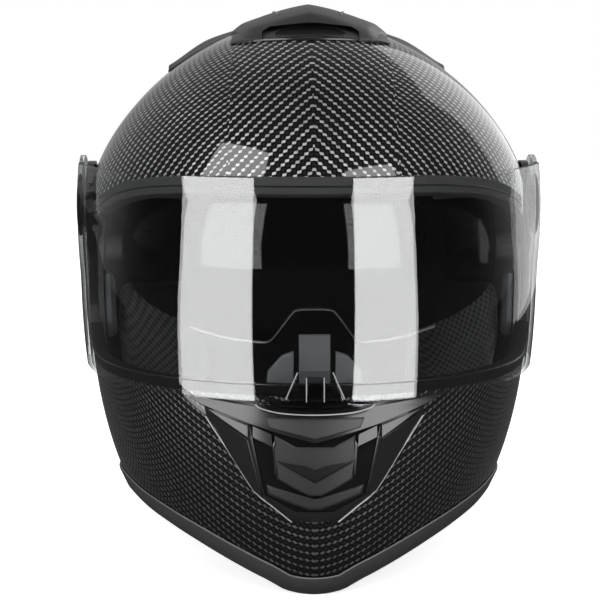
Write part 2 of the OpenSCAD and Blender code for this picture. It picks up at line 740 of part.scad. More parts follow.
// The metal pieces lie flat just past the ends of the webbing
buckle_rise = strap_end[1] - 2.4;
module strap_tongue() color("#7c8085") at_pivot()
    translate([-strap_end[0] + 0.3, -strap_reach, buckle_rise]) {
        translate([0, -strap_w / 2 - 2, -1]) cube([4, strap_w + 4, 3.4]);
        translate([3, -7, -1]) cube([34, 14, 2]);
        for (k = [0 : 6]) translate([10 + k * 3.6, 0, 1]) rotate([90, 0, 0])
            linear_extrude(12, center = true) polygon([[0, -0.2], [2.6, -0.2], [2.6, 1.2]]);
    }
lever_pivot = [strap_end[0] - 6, buckle_rise + 3.5];
module buckle_body() color("#2c2d30") at_pivot() translate([0, -strap_reach, 0]) difference() {
    union() {
        translate([strap_end[0] - 0.3 - buckle_len, -13, buckle_rise - 4])
            cube([buckle_len, 26, 3]);
        for (s = [-1, 1]) translate([strap_end[0] - 0.3 - buckle_len, s * 11.8 - 1.2, buckle_rise - 4])
            cube([buckle_len, 2.4, 10]);
    }
    translate([lever_pivot[0], 0, lever_pivot[1]]) rotate([90, 0, 0])
        cylinder(r = 1.5 + shaft_gap, h = 60, center = true);
}
module buckle_lever() color("#a02020") at_pivot() translate([0, -strap_reach, 0]) {
    translate([lever_pivot[0], 0, lever_pivot[1]]) rotate([90, 0, 0]) {
        cylinder(r = 1.5, h = 25.6, center = true);
        linear_extrude(20.6, center = true) {
            circle(2.6);
            polygon([[0, 2.6], [-buckle_len + 4, 2.6], [-buckle_len - 6, 4.4],
                [-buckle_len - 7, 3], [-buckle_len + 4, 0.8], [0, -0.4]]);
        }
    }
}

/* Chin bar */
module chin_bar() color("#1b1c1e") at_pivot() difference() {
    flat_ear(arm_r, -chin_wall, 0) intersection() {
        skin_wall(0, -chin_wall);
        side_view() chin_area();
    }
    side_view() below(chin_edge);
    rotate([90, 0, 90]) rod(pivot_pin_r + 0.3, -far, far);
    each_side() hinge_shape(seat, -10, hinge_plate_t + seat);
}
// A hinge plate: a disc on the pivot pin with a foot that reaches down the arm
module hinge_shape(grow, low, high) intersection() {
    side_view(shell_half_w - chin_wall + low, shell_half_w - chin_wall + high)
        offset(r = grow) hull() {
            circle(arm_r - 5);
            translate([7, -29]) circle(7);
        }
    rotate([90, 0, 90]) rod(60, 0, far);
}
module hinge_plates() color("#74787d") at_pivot() each_side() difference() {
    hinge_shape(0, 0, hinge_plate_t);
    rotate([90, 0, 90]) rod(pivot_pin_r + shaft_gap, 0, far);
}
module chin_trim() color("#141414") at_pivot() intersection() {
    edge_channel(chin_wall) {
        band(chin_edge, -1.2, trim_h - 1.2);
        polygon(concat(shifted(split_line, [gap + 0.8, 0]), [[24, -far], [far, -far], [far, -24]]));
        below(chin_edge);
    }
    translate([-far, -far, -pivot_h]) cube(2 * far);
}
module sill_seal() color("#101010") at_pivot() edge_channel(chin_wall) {
    difference() {
        offset(r = 2) sill_opening();
        offset(r = -4) sill_opening();
    }
    translate([arm_front + 0.8, sill_rise - 30]) square([far, 45]);
    sill_opening();
}
module sill_opening() polygon([
    [far, sill_rise], [60, sill_rise + 2], [47, sill_rise + 6], [39.5, sill_rise + 13],
    [arm_front, sill_rise + 24], [arm_front, 0], [far, 0],
]);
module chin_liner() color("#202123") at_pivot() difference() {
    intersection() {
        skin_wall(-chin_wall - 0.5, -chin_wall - 0.5 - chin_pad_t, -12, -3);
        side_view() polygon([
            [62, sill_rise - 8], [far, sill_rise - 8], [far, table + 22],
            [chin_reach - 17, table + 32], [chin_reach - 37, table + 42], [62, table + 46],
        ]);
    }
    front_view(60) translate([-24, -far]) square([48, far + table + 38]);
}
// Outlines of the chin vent, below the chin bar's upper lip
function below_lip(half) = [for (p = half) [p[0], -lip_drop - p[1]]];
frame_half = below_lip([[22, 5.4], [36, 3.4], [54, 2], [53, 7], [29.5, 42], [11, 57]]);
scoop_half = below_lip([[12, 15], [32, 8], [31, 14], [24.5, 44], [9, 52]]);
module chin_vent_frame() color("#1a1b1c") at_pivot() difference() {
    p = ccw(whole(frame_half));
    loft([
        front_ring(p, -3), front_ring(p, 0.9), front_ring(inset(p, 1.6), chin_vent_h * 0.7),
        front_ring(inset(p, 3.4), chin_vent_h),
    ]);
    body_of(skin_at(seat));
    q = ccw(whole(scoop_half));
    loft([front_ring(q, -8), front_ring(q, 3), front_ring(inset(q, -1.5), chin_vent_h + 3)]);
}
flap_half = below_lip([[9, 20], [19.5, 14.5], [20, 25], [18, 37], [7, 43]]);
module chin_vent_flap() color("#101112") at_pivot() difference() {
    p = ccw(whole(flap_half));
    loft([front_ring(p, -3), front_ring(p, 2.4), front_ring(inset(p, 1.2), 3.4)]);
    body_of(skin_at(seat + 0.6));
}
guard_foot = sill_rise + 1;
module breath_guard() color("#5d6064") at_pivot() {
    p = ccw(whole([
        [8, guard_foot + guard_h], [10, guard_foot + guard_h - 8], [16, guard_foot + 14],
        [guard_w / 2, guard_foot + 6], [guard_w / 2 + 1, guard_foot - 7], [8, guard_foot - 7.5],
    ]));
    lean = function(q, off) [
        q[0], -skin_reach(q[0], min(q[1], guard_foot), off) - 0.12 * min(0, guard_foot - q[1]), q[1]
    ];
    base = -chin_wall - seat - 1.9;
    loft([
        [for (q = p) lean(q, base - 2.6)],
        [for (q = p) lean(q, base - 0.8)],
        [for (q = inset(p, 0.8)) lean(q, base)],
    ]);
}
module visor_catch() color("#c9ccd0") at_pivot() intersection() {
    skin_wall(1, seat, -7, -2);
    front_view(60) {
        for (s = [-1, 1]) translate([s * 3.2 - 0.9, sill_rise - 8]) square([1.8, 5.6]);
        translate([-3.2, sill_rise - 6]) square([6.4, 1.8]);
    }
}

/* Latch */
latch_rise = table + 21;
latch_reach = skin_reach(20, latch_rise - 4, -chin_wall) - 7.6;
module latch_housing() color("#1f2022") at_pivot() difference() {
    intersection() {
        translate([-20, -latch_reach - 20, latch_rise - 4]) cube([40, 28, 12]);
        body_of(skin_at(-chin_wall - seat));
    }
    translate([-14 - gap, -latch_reach - 3 - gap, latch_rise - far]) cube([28 + 2 * gap, 8 + 2 * gap, far + 4]);
}
module latch_button() color("#b3261e") at_pivot() hull() {
    translate([-14, -latch_reach - 3, latch_rise - 6]) cube([28, 8, 9]);
    translate([-12, -latch_reach - 2, latch_rise - 8]) cube([24, 6, 1]);
}
hook_at = [54, table + 66];
hook_x = skin_x(striker_at[0], striker_at[1], flange_back) - 9.4;
module latch_hooks() color("#85898e") at_pivot() each_side() {
    side_view(hook_x - 3, hook_x) difference() {
        union() {
            hull() {
                translate(hook_at) circle(6);
                translate(striker_at + [0, 7]) circle(3.4);
            }
            hull() {
                translate(striker_at + [0, 7]) circle(3.4);
                translate(striker_at + [-6.6, 3]) circle(2.4);
            }
            hull() {
                translate(striker_at + [-6.6, 3]) circle(2.4);
                translate(striker_at + [-5.6, -2.4]) circle(2);
            }
        }
        translate(hook_at) circle(2.5 + shaft_gap);
        translate(striker_at) circle(striker_r + gap);
    }
}
module hook_pins() color("#8b8f94") at_pivot() each_side() {
    face = flat_seat(hook_at, 4.5, -chin_wall);
    across(hook_at[0], hook_at[1]) {
        rod(2.5, hook_x - 4, face);
        rod(4.5, hook_x + gap, face);
        rod(4, hook_x - 4.6, hook_x - 3 - gap);
    }
}

/* Visor */
module visor_hubs() color("#3c3e41") at_pivot() each_side() rotate([90, 0, 90]) {
    rod(hub_r, shell_half_w + 0.1, shell_half_w + visor_gap + visor_t + 0.4);
    rod(hub_r + 4, shell_half_w + 0.1, shell_half_w + visor_gap - gap);
}
module pivot_caps() color("#17181a") at_pivot() each_side() rotate([90, 0, 90])
    translate([0, 0, shell_half_w + visor_gap + visor_t + 0.4]) difference() {
        rotate_extrude($fn = 48) polygon([
            [0, 0], [hub_r + 5, 0], [hub_r + 4.6, 0.6], [hub_r + 2, 1.2], [0, 1.5],
        ]);
        translate([0, 0, 1.6]) cube([12, 1.8, 1.4], center = true);
    }
module visor_area() offset(r = 5) offset(r = -5) {
    polygon([
        [far, visor_rise], [6, visor_rise], [-20, 0], [-20, -24], [-12, -56], [-4, 9 - lip_drop],
        [6, 3.5 - lip_drop], [far, -lip_drop - 1.4],
    ]);
}
module visor() color("#b9c6cf", 0.35) at_pivot() difference() {
    flat_ear(ear_r, visor_gap, visor_gap + visor_t) intersection() {
        difference() {
            body_of(visor_at(visor_gap + visor_t));
            body_of(visor_at(visor_gap));
        }
        side_view() visor_area();
    }
    rotate([90, 0, 90]) rod(hub_r + 0.3, -far, far);
}
lip_half = below_lip([
    [14.8, -2.6], [finger_lip_w / 2, -1.4], [finger_lip_w / 2 - 4, 1], [16, 3], [6, 3.6],
]);
module visor_tab() color("#c8d2d8", 0.5) at_pivot() difference() {
    union() {
        p = ccw(whole(lip_half));
        loft([front_ring(p, 1), front_ring(p, 5.4), front_ring(inset(p, 0.9), 7.6)]);
        q = ccw(whole([[8.4, sill_rise + 9], [14.8, 2.8 - lip_drop], [14.8, 1 - lip_drop]]));
        loft([front_ring(q, 1), front_ring(q, 4.8), front_ring(inset(q, 0.6), 5.4)]);
    }
    body_of(visor_at(visor_gap + visor_t + 0.1));
    intersection() {
        body_of(skin_at(4.4));
        side_view() translate([0, 0.4 - far - lip_drop]) square([far, far]);
    }
}

outer_shell();
shell_trim();
brow_gasket();
foam_liner();
crown_padding();
cheek_pad_left();
cheek_pad_right();
neck_roll();
port_side_trims();
top_vent_hood();
top_vent_shutter();
rear_spoiler();
pivot_pins();
striker_pins();
sun_visor();
sun_visor_studs();
sun_slider_rail();
sun_slider();
strap_left();
strap_right();
strap_rivets();
strap_tongue();
buckle_body();
buckle_lever();
chin_bar();
hinge_plates();
chin_trim();
sill_seal();
chin_liner();
chin_vent_frame();
chin_vent_flap();
breath_guard();
visor_catch();
latch_housing();
latch_button();
latch_hooks();
hook_pins();
visor_hubs();
pivot_caps();
visor();
visor_tab();
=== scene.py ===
"""Dresses the flip-up helmet: smooth woven shells, rubber edges, clear and smoked
visors, padding, vents and fittings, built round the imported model."""
import json
import logging
import math
from dataclasses import dataclass
from enum import Enum
from typing import Callable, Sequence

import bmesh
import bpy
from mathutils import Matrix, Vector

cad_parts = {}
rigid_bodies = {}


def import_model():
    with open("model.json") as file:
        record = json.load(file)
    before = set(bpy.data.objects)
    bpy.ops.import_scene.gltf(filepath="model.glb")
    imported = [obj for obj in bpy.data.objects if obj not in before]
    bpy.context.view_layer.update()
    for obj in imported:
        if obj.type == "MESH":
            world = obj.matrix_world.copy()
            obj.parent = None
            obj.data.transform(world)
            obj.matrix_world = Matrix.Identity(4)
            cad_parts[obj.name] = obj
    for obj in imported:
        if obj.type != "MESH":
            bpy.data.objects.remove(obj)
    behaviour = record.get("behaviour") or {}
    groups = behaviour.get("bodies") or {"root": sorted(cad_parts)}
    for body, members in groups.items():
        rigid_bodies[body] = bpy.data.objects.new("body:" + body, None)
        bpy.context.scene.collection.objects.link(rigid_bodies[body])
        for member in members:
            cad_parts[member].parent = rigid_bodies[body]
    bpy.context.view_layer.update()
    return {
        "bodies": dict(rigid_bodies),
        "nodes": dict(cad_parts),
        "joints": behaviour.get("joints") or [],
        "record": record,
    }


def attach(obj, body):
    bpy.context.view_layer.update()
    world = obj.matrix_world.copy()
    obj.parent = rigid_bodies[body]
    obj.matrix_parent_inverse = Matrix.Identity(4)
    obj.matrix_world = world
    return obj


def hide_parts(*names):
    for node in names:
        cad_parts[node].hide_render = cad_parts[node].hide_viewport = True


log = logging.getLogger("helmet")
MM = 0.001
PIVOT = Vector((0.0, -0.024, 0.182))
# Millimetres. FAR is well outside the helmet, on any side.
FAR = 400.0
PIN_R = 6.3
# Metres. Points of a mesh, or of a skin's pole, that lie closer than this are one.
WELD = 2e-6
POLE_WELD = 1e-6
# Degrees. Edges that turn by more than this stay sharp.
SHARP = 35.0
SIDES = ((1, "left"), (-1, "right"))
WHITE = (1.0, 1.0, 1.0, 1.0)
Point = tuple[float, float]
Surface = Callable[[float, float], Vector]
Height = Callable[[float, float], float]


# ------------------------------------------------------------------ shader maths
class Value:
    """A shader socket that takes part in arithmetic."""

    def __init__(self, sheet: "ShaderSheet", socket: bpy.types.NodeSocket) -> None:
        """Wraps a socket of a sheet."""
        self.sheet = sheet
        self.socket = socket

    def maths(self, operation: str, *others: "Value | float") -> "Value":
        """Adds one Math node.

        Args:
            operation: The node's operation.
            others: Its second and third values.

        Returns:
            The node's result.
        """
        return self.sheet.node("ShaderNodeMath", {"operation": operation}, [self, *others])

    def __add__(self, other: "Value | float") -> "Value":
        """Adds."""
        return self.maths("ADD", other)

    __radd__ = __add__

    def __mul__(self, other: "Value | float") -> "Value":
        """Multiplies."""
        return self.maths("MULTIPLY", other)

    __rmul__ = __mul__

    def __sub__(self, other: "Value | float") -> "Value":
        """Subtracts."""
        return self.maths("SUBTRACT", other)

    def __rsub__(self, other: float) -> "Value":
        """Subtracts from a number."""
        return self.maths("MULTIPLY", -1.0).maths("ADD", other)

    def __truediv__(self, other: "Value | float") -> "Value":
        """Divides."""
        return self.maths("DIVIDE", other)

    def __abs__(self) -> "Value":
        """Drops the sign."""
        return self.maths("ABSOLUTE")

    def floor(self) -> "Value":
        """Rounds down."""
        return self.maths("FLOOR")

    def fraction(self) -> "Value":
        """Keeps what is left after rounding down."""
        return self.maths("FRACT")

    def within(self, span: float) -> "Value":
        """Wraps round at a span, also below zero."""
        return self - (self / span).floor() * span

    def sine(self) -> "Value":
        """Takes the sine."""
        return self.maths("SINE")

    def ramp(self, low: float, high: float) -> "Value":
        """Goes smoothly from 0 at one level to 1 at another.

        Args:
            low: The level that gives 0.
            high: The level that gives 1.

        Returns:
            The smooth step.
        """
        return self.sheet.node(
            "ShaderNodeMapRange",
            {"interpolation_type": "SMOOTHSTEP"},
            [self, low, high, 0.0, 1.0],
        )


class ShaderSheet:
    """One material's node tree, filled in by plain calls."""

    def __init__(self, name: str) -> None:
        """Starts an empty material of a given name."""
        self.material = bpy.data.materials.new(name)
        self.material.use_nodes = True
        self.tree = self.material.node_tree
        self.tree.nodes.clear()

    def node(
        self, kind: str, settings: dict | None = None, values: Sequence = (), out: int | str = 0
    ) -> Value:
        """Adds a node.

        Args:
            kind: The node's type.
            settings: Properties, set before the sockets are filled.
            values: A list or a dict of socket values or links.
            out: The output to return.

        Returns:
            The output, ready for arithmetic.
        """
        made = self.tree.nodes.new(kind)
        for key, setting in (settings or {}).items():
            setattr(made, key, setting)
        pairs = values.items() if isinstance(values, dict) else enumerate(values)
        for key, item in pairs:
            if isinstance(item, Value):
                self.tree.links.new(item.socket, made.inputs[key])
            else:
                made.inputs[key].default_value = item
        return Value(self, made.outputs[out])

    def place(self) -> Value:
        """Gives the Object coordinates."""
        return self.node("ShaderNodeTexCoord", out="Object")

    def uv(self, name: str) -> Value:
        """Gives a named UV map."""
        return self.node("ShaderNodeUVMap", {"uv_map": name})

    def parts(self, vector: Value) -> tuple[Value, Value, Value]:
        """Splits a vector into its three values."""
        made = self.tree.nodes.new("ShaderNodeSeparateXYZ")
        self.tree.links.new(vector.socket, made.inputs[0])
        return tuple(Value(self, socket) for socket in made.outputs)

    def noise(
        self, scale: float, detail: float = 3.0, stretch: Sequence[float] = (1, 1, 1)
    ) -> Value:
        """Adds noise on Object coordinates.

        Args:
            scale: Cells per metre.
            detail: Octaves.
            stretch: Scale on each axis.

        Returns:
            The noise, from 0 to 1.
        """
        spot = self.node("ShaderNodeMapping", {}, {"Vector": self.place(), "Scale": stretch})
        values = {"Vector": spot, "Scale": scale, "Detail": detail}
        return self.node("ShaderNodeTexNoise", {}, values)

    def blend(self, factor: Value, low: Sequence[float], high: Sequence[float]) -> Value:
        """Mixes two colours.

        Args:
            factor: 0 for the first, 1 for the second.
            low: First colour, or a link.
            high: Second colour, or a link.

        Returns:
            The mixed colour.
        """
        made = self.tree.nodes.new("ShaderNodeMix")
        made.data_type = "RGBA"
        for place, item in ((0, factor), (6, low), (7, high)):
            if isinstance(item, Value):
                self.tree.links.new(item.socket, made.inputs[place])
            else:
                made.inputs[place].default_value = (*item, 1.0)
        return Value(self, made.outputs[2])

    def bump(self, height: Value, strength: float, depth: float) -> Value:
        """Turns a height into a normal.

        Args:
            height: The height, from 0 to 1.
            strength: How much of it shows.
            depth: The real height of 1, in metres.

        Returns:
            The normal.
        """
        return self.node(
            "ShaderNodeBump", {}, {"Height": height, "Strength": strength, "Distance": depth}
        )

    def finish(self, **values: "Value | float | Sequence[float]") -> bpy.types.Material:
        """Adds the surface shader and the output.

        Args:
            values: Socket values or links of the shader, with _ for a space.

        Returns:
            The material.
        """
        inputs = {key.replace("_", " "): item for key, item in values.items()}
        return self.shown(self.node("ShaderNodeBsdfPrincipled", {}, inputs))

    def shown(self, surface: Value) -> bpy.types.Material:
        """Leads a shader to the material's output, and gives the material."""
        out = self.tree.nodes.new("ShaderNodeOutputMaterial")
        self.tree.links.new(surface.socket, out.inputs[0])
        return self.material


# ------------------------------------------------------------------ the master skin
@dataclass(frozen=True)
class Skin:
    """The one curved surface that the shell, the chin bar and the visor share.

    Each knot gives reach, rise, fullness and squareness of the side view, in
    millimetres about the pivot axis. The visor holds the brow's form between two
    angles, and a flat end runs out over the blend's width.
    """

    half_w: float = 119.6 * MM
    end_blend: float = 20.0
    held_span: tuple = (8.0, 260.0)
    knots: tuple = (
        (129, -182, 2.5, 1.6), (138, -85, 2.3, 1.9), (131, -29.5, 2.15, 2), (124, 18, 2.05, 2),
        (99.2, 61.69, 1.85, 1.96), (60.76, 90.05, 1.68, 1.93), (0, 99.5, 1.62, 1.92),
        (-57, 98, 1.68, 1.93), (-131.1, 75.62, 1.9, 1.96), (-190, 0, 2.1, 2),
        (-179.55, -91, 2.3, 2), (-150, -165.62, 2.7, 2), (-75, -208, 3, 2), (0, -219, 3.1, 2),
        (75, -206, 2.9, 1.85),
    )

    def section(self, angle: float) -> tuple[float, float, float]:
        """Gives the section at an angle above straight forward.

        Args:
            angle: The angle in degrees.

        Returns:
            Radius in metres, fullness and squareness.
        """
        marks = [math.degrees(math.atan2(k[1], k[0])) for k in self.knots]
        start = marks[0]
        marks = [a + 360 if a < start - 1e-9 else a for a in marks]
        rows = [(math.hypot(k[0], k[1]) * MM, k[2], k[3]) for k in self.knots]
        n = len(rows)
        angle = (angle - start) % 360 + start
        i = max(j for j in range(n) if marks[j] <= angle + 1e-6)

        def mark(j: int) -> float:
            """Gives a knot's angle on the endless list."""
            return marks[j % n] + 360 * (j // n)

        def slope(j: int, axis: int) -> float:
            """Gives the slope at a knot."""
            return (rows[(j + 1) % n][axis] - rows[(j - 1) % n][axis]) / (mark(j + 1) - mark(j - 1))

        span = mark(i + 1) - mark(i)
        t = (angle - mark(i)) / span
        return tuple(
            rows[i][k] * (2 * t**3 - 3 * t**2 + 1) + slope(i, k) * span * (t**3 - 2 * t**2 + t)
            + rows[(i + 1) % n][k] * (3 * t**2 - 2 * t**3) + slope(i + 1, k) * span * (t**3 - t**2)
            for k in range(3)
        )

    def held_section(self, angle: float) -> tuple[float, float, float]:
        """Gives the visor's section, which keeps the brow's form above the brow."""
        low, high = self.held_span
        if low < angle % 360 < high:
            t = (angle % 360 - low) / (high - low)
            a, b = self.section(low), self.section(high)
            return tuple(p * (1 - t) + q * t for p, q in zip(a, b))
        return self.section(angle)

    def surface(self, off: float, held: bool = False, flat: float = 0.0) -> Surface:
        """Makes a surface that stands off the shell's outer face.

        Args:
            off: Stand-off in millimetres.
            held: Whether it follows the visor above the brow.
            flat: Radius in millimetres of the flat round ends at the pivots.

        Returns:
            A function of angle and side, both in degrees.
        """
        cache: dict[float, tuple] = {}

        def point(angle: float, side: float) -> Vector:
            """Gives one point of the surface."""
            if angle not in cache:
                cache[angle] = (self.held_section if held else self.section)(angle)
            r, full, square = cache[angle]
            c, s = abs(math.cos(math.radians(side))), math.sin(math.radians(side))
            r = (r + off * MM) * c ** (2 / full)
            x = (self.half_w + off * MM) * math.copysign(abs(s) ** (2 / square), s)
            if flat:
                t = smooth((r / MM - flat) / self.end_blend)
                x = math.copysign(abs(x) * t + (self.half_w + off * MM) * (1 - t), s)
            a = math.radians(angle)
            return PIVOT + Vector((x, -r * math.cos(a), r * math.sin(a)))

        return point

    def across(self, reach: float, rise: float, off: float) -> float:
        """Gives how far the skin stands from the middle plane, all in millimetres."""
        r, full, square = self.section(math.degrees(math.atan2(rise, reach)))
        t = min(1.0, math.hypot(reach, rise) / (r / MM + off))
        return (self.half_w / MM + off) * (1 - t**full) ** (1 / square)

    def search(self, outside: Callable[[float], bool], low: float, high: float) -> float:
        """Halves a span until the skin is met."""
        for _ in range(26):
            mid = (low + high) / 2
            low, high = (low, mid) if outside(mid) else (mid, high)
        return (low + high) / 2

    def reach(self, x: float, rise: float, off: float) -> float:
        """Gives the reach of the front of the skin, in millimetres."""
        return self.search(lambda v: self.across(v, rise, off) <= abs(x) + 1e-6, 20, 190)

    def rise(self, x: float, reach: float, off: float) -> float:
        """Gives the rise of the top of the skin, in millimetres."""
        return self.search(lambda v: self.across(reach, v, off) <= abs(x) + 1e-6, 0, 160)


def smooth(t: float) -> float:
    """Goes smoothly from 0 to 1 as t does, and stays there."""
    t = min(1.0, max(0.0, t))
    return t * t * (3 - 2 * t)


SKIN = Skin()


# ------------------------------------------------------------------ mesh tools
def new_piece(name: str, bm: bmesh.types.BMesh, sharp: float = SHARP) -> bpy.types.Object:
    """Turns a bmesh into an object at the origin.

    Args:
        name: The object's name.
        bm: The mesh, which is freed.
        sharp: Edges that turn by more than this many degrees stay sharp.

    Returns:
        The object.
    """
    mesh = bpy.data.meshes.new(name)
    bm.to_mesh(mesh)
    bm.free()
    piece = bpy.data.objects.new(name, mesh)
    bpy.context.scene.collection.objects.link(piece)
    soften(piece, sharp)
    return piece


def soften(piece: bpy.types.Object, sharp: float = SHARP) -> None:
    """Shades a piece smooth, apart from its sharp edges."""
    piece.data.polygons.foreach_set("use_smooth", [True] * len(piece.data.polygons))
    piece.data.set_sharp_from_angle(angle=math.radians(sharp))


def bake_modifiers(piece: bpy.types.Object, sharp: float = SHARP) -> None:
    """Applies a piece's modifiers to its mesh."""
    graph = bpy.context.evaluated_depsgraph_get()
    mesh = bpy.data.meshes.new_from_object(piece.evaluated_get(graph), depsgraph=graph)
    old = piece.data
    piece.modifiers.clear()
    piece.data = mesh
    mesh.name = piece.name
    bpy.data.meshes.remove(old)
    soften(piece, sharp)


class Cut(Enum):
    """How one solid works on another."""

    OFF = "DIFFERENCE"
    KEEP = "INTERSECT"
    JOIN = "UNION"


def carve(piece: bpy.types.Object, tool: bpy.types.Object, how: Cut, sharp: float = SHARP) -> None:
    """Works one closed solid on another and deletes the tool.

    Args:
        piece: What is changed.
        tool: The other solid.
        how: What is done.
        sharp: As for new_piece.
    """
    step = piece.modifiers.new("carve", "BOOLEAN")
    step.object = tool
    step.operation = how.value
    step.solver = "MANIFOLD"
    bake_modifiers(piece, sharp)
    bpy.data.objects.remove(tool)


def world(reach: float, rise: float, x: float = 0.0) -> Vector:
    """Turns millimetres about the pivot axis into a place in metres."""
    return PIVOT + Vector((x * MM, -reach * MM, rise * MM))


def only_verts(geometry: Sequence) -> list[bmesh.types.BMVert]:
    """Gives the vertices among what an operator made."""
    return [g for g in geometry if isinstance(g, bmesh.types.BMVert)]


def extrude_to_solid(bm: bmesh.types.BMesh, face: bmesh.types.BMFace, by: Vector) -> None:
    """Draws one face out into a closed solid whose faces point outwards."""
    made = bmesh.ops.extrude_face_region(bm, geom=[face], use_keep_orig=True)["geom"]
    bmesh.ops.translate(bm, verts=only_verts(made), vec=by)
    bmesh.ops.recalc_face_normals(bm, faces=bm.faces)


def side_prism(outline: Sequence[Point], low: float = -FAR) -> bpy.types.Object:
    """Makes a prism that runs across the helmet.

    Args:
        outline: Reach and rise of its corners.
        low: Where it starts, across.

    Returns:
        The prism, as a tool for carve.
    """
    bm = bmesh.new()
    face = bm.faces.new([bm.verts.new(world(p[0], p[1], low)) for p in outline])
    extrude_to_solid(bm, face, Vector(((FAR - low) * MM, 0, 0)))
    return new_piece("tool", bm)


def front_prism(outline: Sequence[Point], low: float) -> bpy.types.Object:
    """Makes a prism that runs forward from a reach, from places across and in rise."""
    bm = bmesh.new()
    face = bm.faces.new([bm.verts.new(world(low, p[1], p[0])) for p in outline])
    extrude_to_solid(bm, face, Vector((0, -(FAR - low) * MM, 0)))
    return new_piece("tool", bm)


def rod(radius: float, low: float = -FAR, at: Point = (0, 0)) -> bpy.types.Object:
    """Makes a round bar across the helmet, in millimetres.

    Args:
        radius: Its radius.
        low: Where it starts, across.
        at: Reach and rise of its axis.

    Returns:
        The bar, as a tool for carve.
    """
    bm = bmesh.new()
    bmesh.ops.create_cone(
        bm, cap_ends=True, segments=96, radius1=radius * MM, radius2=radius * MM,
        depth=(FAR - low) * MM,
    )
    bmesh.ops.rotate(bm, verts=bm.verts, matrix=Matrix.Rotation(math.pi / 2, 3, "Y"))
    bmesh.ops.translate(bm, verts=bm.verts, vec=world(at[0], at[1], (low + FAR) / 2))
    return new_piece("tool", bm)


def merged(mesh: bpy.types.Mesh) -> bmesh.types.BMesh:
    """Copies a mesh into a bmesh and joins its loose triangles."""
    bm = bmesh.new()
    bm.from_mesh(mesh)
    bmesh.ops.remove_doubles(bm, verts=bm.verts, dist=WELD)
    return bm


def ring_edges(
    bm: bmesh.types.BMesh, verts: Sequence[bmesh.types.BMVert]
) -> list[bmesh.types.BMEdge]:
    """Joins vertices into a closed ring of edges."""
    return [bm.edges.new((a, b)) for a, b in zip(verts, [*verts[1:], verts[0]])]


def close_rings(bm: bmesh.types.BMesh, rings: Sequence[list]) -> None:
    """Joins rings of edges into a closed solid of triangles that point outwards."""
    for a, b in zip(rings, rings[1:]):
        bmesh.ops.bridge_loops(bm, edges=a + b)
    for ring in (rings[0], rings[-1]):
        bmesh.ops.contextual_create(bm, geom=ring)
    bmesh.ops.triangulate(bm, faces=[f for f in bm.faces if len(f.verts) > 4])
    bmesh.ops.recalc_face_normals(bm, faces=bm.faces)


def break_edges(bm: bmesh.types.BMesh, width: float, angle: float = 28.0) -> None:
    """Bevels the edges of a mesh that turn by more than an angle, by a width in millimetres."""
    edges = [
        e for e in bm.edges
        if len(e.link_faces) == 2 and e.calc_face_angle(0) > math.radians(angle)
    ]
    bmesh.ops.bevel(
        bm, geom=edges, offset=width * MM, offset_type="OFFSET", segments=2, profile=0.5,
        affect="EDGES", clamp_overlap=True, material=-1,
    )


def add_skin(
    bm: bmesh.types.BMesh, face: Surface, rows: int, cols: int, inward: bool = False,
    charts: "WeaveCharts | None" = None,
) -> None:
    """Adds a whole closed skin to a bmesh.

    Args:
        bm: The mesh.
        face: The surface.
        rows: Faces round the pivot axis.
        cols: Faces from one pivot to the other.
        inward: Whether its faces point inwards.
        charts: How the weave lies on it, if it has one.
    """
    grid = bmesh.ops.create_grid(bm, x_segments=cols, y_segments=rows, size=1.0)["verts"]
    spots = {v: (round((v.co.y + 1) * 180, 4), round(v.co.x * 90, 4)) for v in grid}
    faces = list({f for v in grid for f in v.link_faces})
    for v, (angle, side) in spots.items():
        v.co = face(angle, side)
    if charts:
        charts.lay(bm, faces, spots, face, rows, cols)
    bmesh.ops.remove_doubles(bm, verts=grid, dist=POLE_WELD)
    faces = [f for f in faces if f.is_valid]
    probe = max(faces, key=lambda f: f.calc_area())
    outward = probe.normal.dot(probe.calc_center_median() - PIVOT) > 0
    if outward == inward:
        bmesh.ops.reverse_faces(bm, faces=faces)


def skin_wall(
    name: str, outer: Surface, inner: Surface, rows: int, cols: int,
    charts: "WeaveCharts | None" = None,
) -> bpy.types.Object:
    """Makes the closed wall between two skins.

    Args:
        name: The object's name.
        outer: Its outer face.
        inner: Its inner face.
        rows: Faces round the pivot axis.
        cols: Faces across.
        charts: How the weave lies on the outer face.

    Returns:
        The wall.
    """
    bm = bmesh.new()
    if charts:
        bm.loops.layers.uv.new("weave")
    add_skin(bm, outer, rows, cols, charts=charts)
    add_skin(bm, inner, rows, cols, inward=True)
    return new_piece(name, bm)


